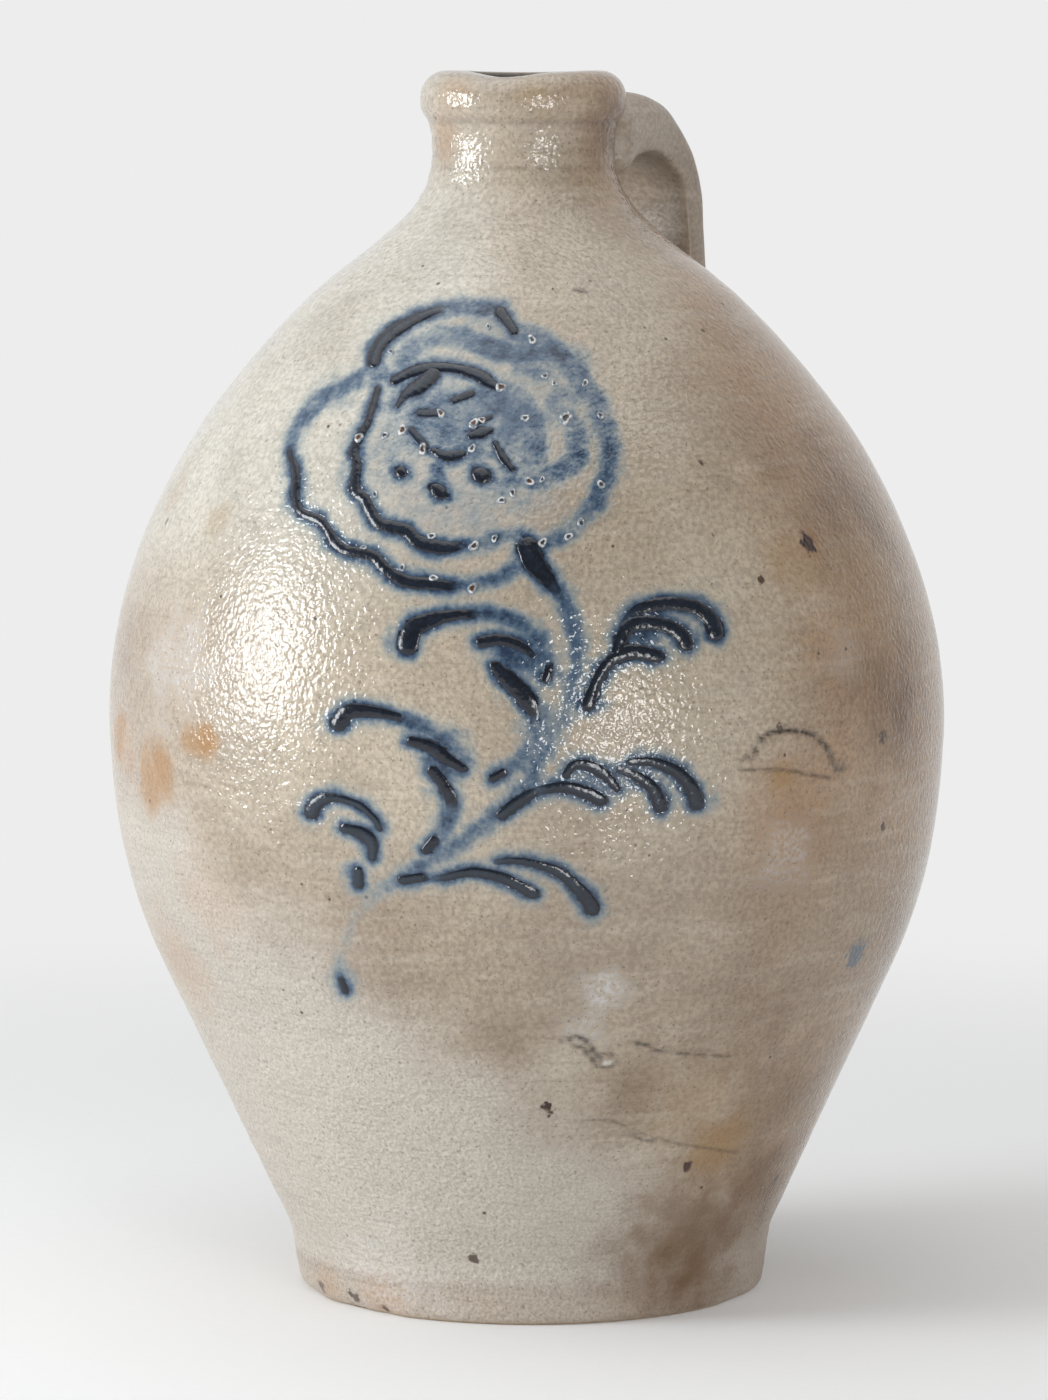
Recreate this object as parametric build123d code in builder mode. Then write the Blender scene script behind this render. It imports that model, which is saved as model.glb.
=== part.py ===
from build123d import *
import math
import os

os.makedirs("parts", exist_ok=True)

# Thrown body, outside
jug_height = 350.0
foot_radius = 67.0
foot_height = 17.5
foot_flare = 2.6
foot_edge = 2.5
foot_blend = 14.0
belly_radius = 120.0
belly_height = 161.6
belly_band = 0.4
lower_straight = 84.0
shoulder_straight = 54.0
neck_wall = 12.3
neck_straight = 5.5
neck_blend = 23.0
collar_overhang = 3.1
collar_rise = 6.5
collar_upright = 3.0
collar_blend = 8.0
collar_under_round = 5.0
collar_round = 7.5

# Thrown body, inside
floor_thickness = 11.0
floor_round = 18.0
foot_wall = 12.0
belly_wall = 8.0
bore_radius = 14.0
bore_blend = 15.0
lip_round = 4.0

# Strap handle, pulled out behind the neck
strap_reach = 72.0
strap_drop = 6.5
strap_bend = 37.0
strap_width = 34.0
strap_root_width = 44.0
strap_end_width = 38.0
strap_thickness = 13.0
strap_root_thickness = 18.0
strap_pad = 30.0
strap_hollow = 2.4
strap_crown = 1.2

# Trailed slip on the decorated side, in the view from decor_azimuth
slip_height = 0.8
decor_azimuth = 35.0
line_width = 4.6
bloom_x = -20.0
bloom_drop = 67.5
bloom_half_width = 45.0
bloom_half_height = 38.5
outer_lobe_angle = 21.0
inner_lobe_angle = 25.0
rim_lobes = 6
lobe_bulge = 0.19
leaf_arch = 0.4
long_leaf_arch = 0.26
spray_spacing = 10.0

# Heights and radii that follow from the sizes above
neck_radius = bore_radius + neck_wall
collar_root = jug_height - collar_round - collar_upright - collar_rise
neck_root = collar_root - neck_straight - neck_blend / 2
bloom_z = neck_root - bloom_drop
slip_start = 0.35 * belly_radius
slip_depth = belly_radius + 2 * slip_height - slip_start


def tangent_corner(run, rise, straight):
    """Round a straight slope into an upright line.

    run and rise go from the free end of the slope to where the curve ends upright.
    Gives how far the corner lies from that upright end, and the corner's radius.
    """
    reach = rise + straight
    slope_length = (run**2 + reach**2) / (2 * reach)
    upright = slope_length - straight
    angle = math.atan2(run, rise - upright)
    return upright, upright / math.tan(angle / 2)


def belly_corners(foot, foot_z, belly, neck):
    """The two corners that round the lower wall and the shoulder into the widest place."""
    low_z = belly_height - belly_band / 2
    high_z = belly_height + belly_band / 2
    low_drop, low_round = tangent_corner(belly - foot, low_z - foot_z, lower_straight)
    high_rise, high_round = tangent_corner(belly - neck, neck_root - high_z, shoulder_straight)
    return [
        ((belly, low_z - low_drop), low_round),
        ((belly, high_z + high_rise), high_round),
    ]


def outside_corners(growth):
    """Corners and radii of the outside, from the foot's edge to the collar's top."""
    foot_top = foot_radius + foot_flare + growth
    neck = neck_radius + growth
    collar = neck + collar_overhang
    return [
        ((foot_radius + growth, 0), foot_edge),
        ((foot_top, foot_height), foot_blend),
        *belly_corners(foot_top, foot_height, belly_radius + growth, neck),
        ((neck, neck_root), neck_blend),
        ((neck, collar_root), collar_blend),
        ((collar, collar_root + collar_rise), collar_under_round),
        ((collar, jug_height + growth), collar_round),
    ]


def inside_corners():
    """Corners and radii of the inside, from the lip down to the floor."""
    floor_radius = foot_radius + foot_flare - foot_wall
    belly = belly_corners(floor_radius, floor_thickness, belly_radius - belly_wall, bore_radius)
    return [
        ((bore_radius, jug_height), lip_round),
        ((bore_radius, neck_root), bore_blend),
        *reversed(belly),
        ((floor_radius, floor_thickness), floor_round),
    ]


def axis_outline(corners, top_z):
    """Half section that starts on the axis at the floor and comes back to it at top_z."""
    with BuildLine() as outline:
        FilletPolyline(
            (0, 0),
            *[point for point, radius in corners],
            (0, top_z),
            radius=[radius for point, radius in corners],
        )
        Line((0, top_z), (0, 0))
    return outline.edges()


def strap_outline(width, thickness):
    """Strap section below the strap's outer line: crowned outside, dished inside, round edges."""
    flat = width / 2 - 0.4 * thickness
    with BuildLine() as outline:
        outer = ThreePointArc((-flat, 0), (0, strap_crown), (flat, 0))
        ThreePointArc(outer @ 1, (width / 2, -thickness / 2), (flat, -thickness))
        inner = ThreePointArc((flat, -thickness), (0, strap_hollow - thickness), (-flat, -thickness))
        ThreePointArc(inner @ 1, (-width / 2, -thickness / 2), outer @ 0)
    return outline.edges()


def trail(tail, head, bow, tail_width, head_width):
    """One trailed stroke: an arc from tail to head, bowed to its left, with two round ends."""
    with BuildLine() as outline:
        middle = (tail + head) / 2 + (head - tail).normalized().rotate(Axis.Z, 90) * bow
        run = ThreePointArc(tail, middle, head, mode=Mode.PRIVATE)
        sides = [(run % share).rotate(Axis.Z, 90) for share in (0, 0.5, 1)]
        tail_side, side, head_side = sides
        a, c = tail_width / 2, head_width / 2
        m = (a + c) / 2
        left = ThreePointArc(tail + tail_side * a, middle + side * m, head + head_side * c)
        ThreePointArc(left @ 1, head + run % 1 * c, head - head_side * c)
        right = ThreePointArc(head - head_side * c, middle - side * m, tail - tail_side * a)
        ThreePointArc(right @ 1, tail - run % 0 * a, left @ 0)
    return outline.edges()


def bloom_point(share, angle):
    """Point of the blossom at a share of its size, angle measured from the viewer's right."""
    turn = math.radians(angle)
    across = share * bloom_half_width * math.cos(turn)
    up = share * bloom_half_height * math.sin(turn)
    return Vector(bloom_x + across, bloom_z + up)


def scalloped_rim(share, first, step):
    """A run of rounded lobes round the blossom, anticlockwise from the first angle."""
    ends = [bloom_point(share, first + lobe * step) for lobe in range(rim_lobes + 1)]
    return [
        trail(tail, head, -lobe_bulge * (head - tail).length, line_width, line_width)
        for tail, head in zip(ends, ends[1:])
    ]


def beside(point, across, up):
    """Point so many spray spacings to the viewer's right of another one, and above it."""
    return point + Vector(across, up) * spray_spacing


def leaf_spray(root, head, arch):
    """A long comma arched from root to head, and two short ones tucked under its arch."""
    length = (head - root).length
    along = head - root
    across = along.rotate(Axis.Z, math.copysign(90, arch))
    under = math.copysign(0.07, arch) * length
    long_comma = trail(root, head, arch * length, 0.45 * line_width, 1.5 * line_width)
    middle_comma = trail(
        root + along * 0.16 + across * 0.2,
        root + along * 0.5 + across * 0.16,
        under,
        0.6 * line_width,
        1.35 * line_width,
    )
    low_comma = trail(
        root + along * 0.05 + across * 0.07,
        root + along * 0.3,
        under,
        0.6 * line_width,
        1.2 * line_width,
    )
    return [long_comma, middle_comma, low_comma]


decor_turn = math.radians(decor_azimuth)
decor_plane = Plane(
    origin=(slip_start * math.sin(decor_turn), -slip_start * math.cos(decor_turn), 0),
    x_dir=(math.cos(decor_turn), math.sin(decor_turn), 0),
    z_dir=(math.sin(decor_turn), -math.cos(decor_turn), 0),
)

# The hollow body, thrown in one piece with its foot, neck and rolled collar
with BuildPart() as jug_body:
    with BuildSketch(Plane.XZ):
        make_face(axis_outline(outside_corners(0) + inside_corners(), floor_thickness))
    revolve(axis=Axis.Z)
jug_body.part.label = "jug_body"

# The body's outside as a filled form, and the same form with the slip's height added
with BuildPart() as outer_form:
    with BuildSketch(Plane.XZ):
        make_face(axis_outline(outside_corners(0), jug_height))
    revolve(axis=Axis.Z)

with BuildPart() as slip_form:
    with BuildSketch(Plane.XZ):
        make_face(axis_outline(outside_corners(slip_height), jug_height + slip_height))
    revolve(axis=Axis.Z)

# The strap handle, luted on at the collar and on the shoulder, drawn along its outer line
strap_top = jug_height - strap_drop
strap_start = 0.5 * neck_radius
strap_end = neck_root - 1.15 * (strap_reach - neck_radius)
with BuildPart() as strap_handle:
    with BuildLine(Plane.YZ) as strap_line:
        FilletPolyline(
            (strap_start, strap_top),
            (strap_reach, strap_top),
            (strap_reach, strap_end),
            radius=strap_bend,
        )
    run = strap_line.wires()[0]
    straight = (strap_reach - strap_bend - strap_start) / run.length
    bend = math.pi / 2 * strap_bend / run.length
    mid_thickness = 0.5 * (strap_root_thickness + strap_thickness)
    stations = [
        (0.0, strap_root_width, strap_pad),
        (straight, 0.5 * (strap_width + strap_root_width), strap_root_thickness),
        (straight + 0.4 * bend, strap_width, mid_thickness),
        (straight + 0.75 * bend, strap_width, strap_thickness),
        (straight + bend, strap_width, strap_thickness),
        (1.0, strap_end_width, strap_thickness),
    ]
    for share, width, thickness in stations:
        with BuildSketch(Plane(origin=run @ share, x_dir=(-1, 0, 0), z_dir=run % share)):
            make_face(strap_outline(width, thickness))
    loft()
    add(outer_form.part, mode=Mode.SUBTRACT)
strap_handle.part.label = "strap_handle"

# The blossom: two runs of lobes, the arches over them, four dashes for a heart and three dots
with BuildPart() as bloom_outer_rim:
    with BuildSketch(decor_plane):
        for stroke in scalloped_rim(0.93, 168, outer_lobe_angle):
            make_face(stroke)
    extrude(amount=slip_depth)
    add(slip_form.part, mode=Mode.INTERSECT)
    add(outer_form.part, mode=Mode.SUBTRACT)
bloom_outer_rim.part.label = "bloom_outer_rim"

with BuildPart() as bloom_inner_rim:
    with BuildSketch(decor_plane):
        for stroke in scalloped_rim(0.62, 152, inner_lobe_angle):
            make_face(stroke)
    extrude(amount=slip_depth)
    add(slip_form.part, mode=Mode.INTERSECT)
    add(outer_form.part, mode=Mode.SUBTRACT)
bloom_inner_rim.part.label = "bloom_inner_rim"

with BuildPart() as bloom_arches:
    with BuildSketch(decor_plane):
        for tail, head, bow, taper in [
            (bloom_point(0.86, 138), bloom_point(0.93, 72), 0.55, 0.7),
            (bloom_point(0.95, 63), bloom_point(0.8, 55), 0.06, 1.1),
            (bloom_point(0.55, 132), bloom_point(0.46, 48), 0.45, 0.7),
        ]:
            make_face(trail(tail, head, bow * spray_spacing, line_width, taper * line_width))
    extrude(amount=slip_depth)
    add(slip_form.part, mode=Mode.INTERSECT)
    add(outer_form.part, mode=Mode.SUBTRACT)
bloom_arches.part.label = "bloom_arches"

with BuildPart() as bloom_heart:
    with BuildSketch(decor_plane):
        for angle in (80, 170, 260, 350):
            tail, head = bloom_point(0.21, angle), bloom_point(0.21, angle + 50)
            make_face(trail(tail, head, -0.14 * spray_spacing, 0.5 * line_width, 0.9 * line_width))
    extrude(amount=slip_depth)
    add(slip_form.part, mode=Mode.INTERSECT)
    add(outer_form.part, mode=Mode.SUBTRACT)
bloom_heart.part.label = "bloom_heart"

with BuildPart() as bloom_dots:
    with BuildSketch(decor_plane):
        with Locations(*[bloom_point(0.4, angle) for angle in (215, 262, 305)]):
            SlotCenterToCenter(0.25 * line_width, 0.9 * line_width, rotation=-35)
    extrude(amount=slip_depth)
    add(slip_form.part, mode=Mode.INTERSECT)
    add(outer_form.part, mode=Mode.SUBTRACT)
bloom_dots.part.label = "bloom_dots"

# The stem: three bowed runs from under the blossom, thinning towards the tail
stem_top = beside(bloom_point(0.93, 318), -0.5, -0.6)
stem_bend = beside(stem_top, 0.6, -3.1)
stem_turn = beside(stem_bend, -2.1, -3.3)
stem_tail = beside(stem_turn, -4.0, -5.2)
with BuildPart() as stem:
    with BuildSketch(decor_plane):
        for tail, head, bow, tail_share, head_share in [
            (stem_top, stem_bend, 0.3, 1.3, 0.8),
            (stem_bend, stem_turn, 0.55, 0.8, 0.8),
            (stem_turn, stem_tail, -0.5, 0.9, 0.5),
        ]:
            widths = tail_share * line_width, head_share * line_width
            make_face(trail(tail, head, bow * spray_spacing, *widths))
    extrude(amount=slip_depth)
    add(slip_form.part, mode=Mode.INTERSECT)
    add(outer_form.part, mode=Mode.SUBTRACT)
stem.part.label = "stem"

# Leaf sprays beside the stem: root, head of the long comma and how it arches, plus to the left
leaf_rows = {
    "leaf_left_upper": (beside(stem_bend, -1.0, -1.5), beside(stem_bend, -4.5, 0.7), -leaf_arch),
    "leaf_left_middle": (beside(stem_turn, -1.7, -0.8), beside(stem_turn, -4.3, 2.2), -leaf_arch),
    "leaf_left_lower": (beside(stem_turn, -3.5, -2.7), beside(stem_turn, -5.3, -0.2), -leaf_arch),
    "leaf_right_upper": (beside(stem_bend, 0.55, -0.2), beside(stem_bend, 4.0, 1.3), leaf_arch),
    "leaf_right_middle": (beside(stem_turn, 0.8, -0.2), beside(stem_turn, 5.5, 0), long_leaf_arch),
    "leaf_right_lower": (beside(stem_turn, -1.4, -2.1), beside(stem_turn, 2.6, -2.8), long_leaf_arch),
}
leaves = []
for leaf_name, (root, head, arch) in leaf_rows.items():
    with BuildPart() as leaf:
        with BuildSketch(decor_plane):
            for stroke in leaf_spray(root, head, arch):
                make_face(stroke)
        extrude(amount=slip_depth)
        add(slip_form.part, mode=Mode.INTERSECT)
        add(outer_form.part, mode=Mode.SUBTRACT)
    leaf.part.label = leaf_name
    leaves.append(leaf)

bloom = [bloom_outer_rim, bloom_inner_rim, bloom_arches, bloom_heart, bloom_dots]
for piece in [jug_body, strap_handle, *bloom, stem, *leaves]:
    export_step(piece.part, f"parts/{piece.part.label}.step")
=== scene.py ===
import math
from contextlib import contextmanager

import bpy
import numpy as np
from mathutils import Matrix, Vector, noise


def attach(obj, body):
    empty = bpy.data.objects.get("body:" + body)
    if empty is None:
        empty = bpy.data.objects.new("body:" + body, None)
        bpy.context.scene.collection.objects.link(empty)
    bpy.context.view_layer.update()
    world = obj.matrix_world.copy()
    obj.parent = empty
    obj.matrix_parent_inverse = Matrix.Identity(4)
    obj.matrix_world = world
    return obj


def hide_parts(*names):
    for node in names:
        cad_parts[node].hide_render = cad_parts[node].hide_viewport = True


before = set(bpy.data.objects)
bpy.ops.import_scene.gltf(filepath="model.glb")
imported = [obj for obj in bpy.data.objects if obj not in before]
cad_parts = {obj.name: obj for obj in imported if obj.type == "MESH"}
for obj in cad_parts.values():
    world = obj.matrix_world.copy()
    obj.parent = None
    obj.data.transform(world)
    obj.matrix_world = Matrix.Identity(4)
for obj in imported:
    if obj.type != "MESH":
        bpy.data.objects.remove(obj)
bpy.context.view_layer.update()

# Sizes in millimetres, as in the part
MM = 0.001
JUG_HEIGHT = 350.0
FOOT_RADIUS, FOOT_TOP_RADIUS, FOOT_HEIGHT = 67.0, 69.6, 17.5
BELLY_RADIUS, BELLY_HEIGHT, BELLY_BAND = 120.0, 161.6, 0.4
LOWER_STRAIGHT, SHOULDER_STRAIGHT = 84.0, 54.0
NECK_RADIUS, NECK_ROOT = 26.3, 316.0
COLLAR_ROOT, COLLAR_RADIUS, COLLAR_RISE = 333.0, 29.4, 6.5
BORE_RADIUS, FLOOR_RADIUS, FLOOR_HEIGHT, INNER_BELLY = 14.0, 57.6, 11.0, 112.0
STRAP_REACH, STRAP_TOP, STRAP_END, STRAP_BEND, STRAP_START = 72.0, 343.5, 263.4, 37.0, 13.15

# The decorated side: the viewer's right and the way towards the viewer, in the jug's frame
DECOR_AZIMUTH = math.radians(35)
RIGHT = np.array([math.cos(DECOR_AZIMUTH), math.sin(DECOR_AZIMUTH), 0.0])
TOWARD = np.array([math.sin(DECOR_AZIMUTH), -math.cos(DECOR_AZIMUTH), 0.0])
# How far the body leans to the viewer's left, as a share of the height
LEAN = 0.0066


def smooth(low, high, value):
    """A soft step from nought at low to one at high."""
    t = np.clip((value - low) / (high - low), 0.0, 1.0)
    return t * t * (3 - 2 * t)


def keyed(keys, shares):
    """Values at the shares of a length, from (share, value) pairs or from one number."""
    if isinstance(keys, (int, float)):
        return np.full(len(shares), float(keys))
    return np.interp(shares, [key[0] for key in keys], [key[1] for key in keys])


def rough(points, size):
    """Noise at points in millimetres, with lumps of about the given size."""
    return np.array([noise.noise(Vector(point)) for point in points / size])


def run_of(line):
    """The length along a line up to each of its points."""
    return np.concatenate([[0], np.cumsum(np.hypot(*np.diff(line, axis=0).T))])


def places_on(line, run, at):
    """The places at such lengths along a line."""
    return np.stack([np.interp(at, run, line[:, 0]), np.interp(at, run, line[:, 1])], 1)


# The body's outline

def tangent_corner(run, rise, straight):
    reach = rise + straight
    slope_length = (run**2 + reach**2) / (2 * reach)
    upright = slope_length - straight
    return upright, upright / math.tan(math.atan2(run, rise - upright) / 2)


def belly_corners(foot, foot_z, belly, neck):
    low_z, high_z = BELLY_HEIGHT - BELLY_BAND / 2, BELLY_HEIGHT + BELLY_BAND / 2
    low_drop, low_round = tangent_corner(belly - foot, low_z - foot_z, LOWER_STRAIGHT)
    high_rise, high_round = tangent_corner(belly - neck, NECK_ROOT - high_z, SHOULDER_STRAIGHT)
    return [((belly, low_z - low_drop), low_round), ((belly, high_z + high_rise), high_round)]


OUTSIDE = [
    ((FOOT_RADIUS, 0), 2.5),
    ((FOOT_TOP_RADIUS, FOOT_HEIGHT), 14),
    *belly_corners(FOOT_TOP_RADIUS, FOOT_HEIGHT, BELLY_RADIUS, NECK_RADIUS),
    ((NECK_RADIUS, NECK_ROOT), 23),
    ((NECK_RADIUS, COLLAR_ROOT), 8),
    ((COLLAR_RADIUS, COLLAR_ROOT + COLLAR_RISE), 5),
    ((COLLAR_RADIUS, JUG_HEIGHT), 7.5),
]
INSIDE = [
    ((BORE_RADIUS, JUG_HEIGHT), 4),
    ((BORE_RADIUS, NECK_ROOT), 15),
    *reversed(belly_corners(FLOOR_RADIUS, FLOOR_HEIGHT, INNER_BELLY, BORE_RADIUS)),
    ((FLOOR_RADIUS, FLOOR_HEIGHT), 18),
]


def rounded_line(start, corners, end):
    """Close points along straight runs joined by round corners."""
    stops = [np.array(p, float) for p in [start, *[corner for corner, _ in corners], end]]
    line = [stops[0]]
    for before, at, after, (_, radius) in zip(stops, stops[1:], stops[2:], corners):
        back, ahead = before - at, after - at
        back, ahead = back / np.linalg.norm(back), ahead / np.linalg.norm(ahead)
        half = 0.5 * math.acos(np.clip(back @ ahead, -1, 1))
        middle = back + ahead
        centre = at + middle / np.linalg.norm(middle) * radius / math.sin(half)
        first = at + back * radius / math.tan(half) - centre
        turn = math.copysign(math.pi - 2 * half, back[1] * ahead[0] - back[0] * ahead[1])
        for angle in np.linspace(0, turn, max(6, int(abs(turn) * radius / 0.4))):
            c, s = math.cos(angle), math.sin(angle)
            line.append(centre + np.array([c * first[0] - s * first[1], s * first[0] + c * first[1]]))
    line.append(stops[-1])
    dense = [line[0]]
    for a, b in zip(line, line[1:]):
        pieces = max(1, int(np.linalg.norm(b - a) / 0.5))
        dense += [a + (b - a) * k / pieces for k in range(1, pieces + 1)]
    return np.array(dense)


BODY_LINE = rounded_line((0, 0), OUTSIDE + INSIDE, (0, FLOOR_HEIGHT))
LIP = int(np.argmax(BODY_LINE[:, 1] > JUG_HEIGHT - 1e-6))
WALL = BODY_LINE[np.argmax(BODY_LINE[:, 1] > 0) : LIP + 1]


def wall_radius(z):
    return np.interp(z, WALL[:, 1], WALL[:, 0])


def body_rows():
    """The body's outline with close rows outside and wide ones where nothing is seen."""
    radius, z = BODY_LINE.T
    order = np.arange(len(z))
    step = np.full(len(z), 2.3)
    step[z > 290] = 1.3
    step[(z < 6) & (radius > 60)] = 0.8
    step[(z == 0) & (radius < 62)] = 9.0
    step[(order > LIP) & (z < 345)] = 3.0
    step[(order > LIP) & (z < 315)] = 11.0
    lengths = np.hypot(np.diff(radius), np.diff(z))
    count = np.concatenate([[0], np.cumsum(lengths / (0.5 * (step[1:] + step[:-1])))])
    stations = np.linspace(0, count[-1], int(count[-1]) + 1)
    return places_on(BODY_LINE, count, stations)


# Strokes of trailed slip on the front: middle lines as (across, height), widths and loads by share

def drop_widths(width):
    """Widths along a round drop."""
    shares = (0, 0.06, 0.2, 0.35, 0.5, 0.65, 0.8, 0.94, 1)
    return [(t, width * max(0.1, math.sqrt(1 - (2 * t - 1) ** 2))) for t in shares]


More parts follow.
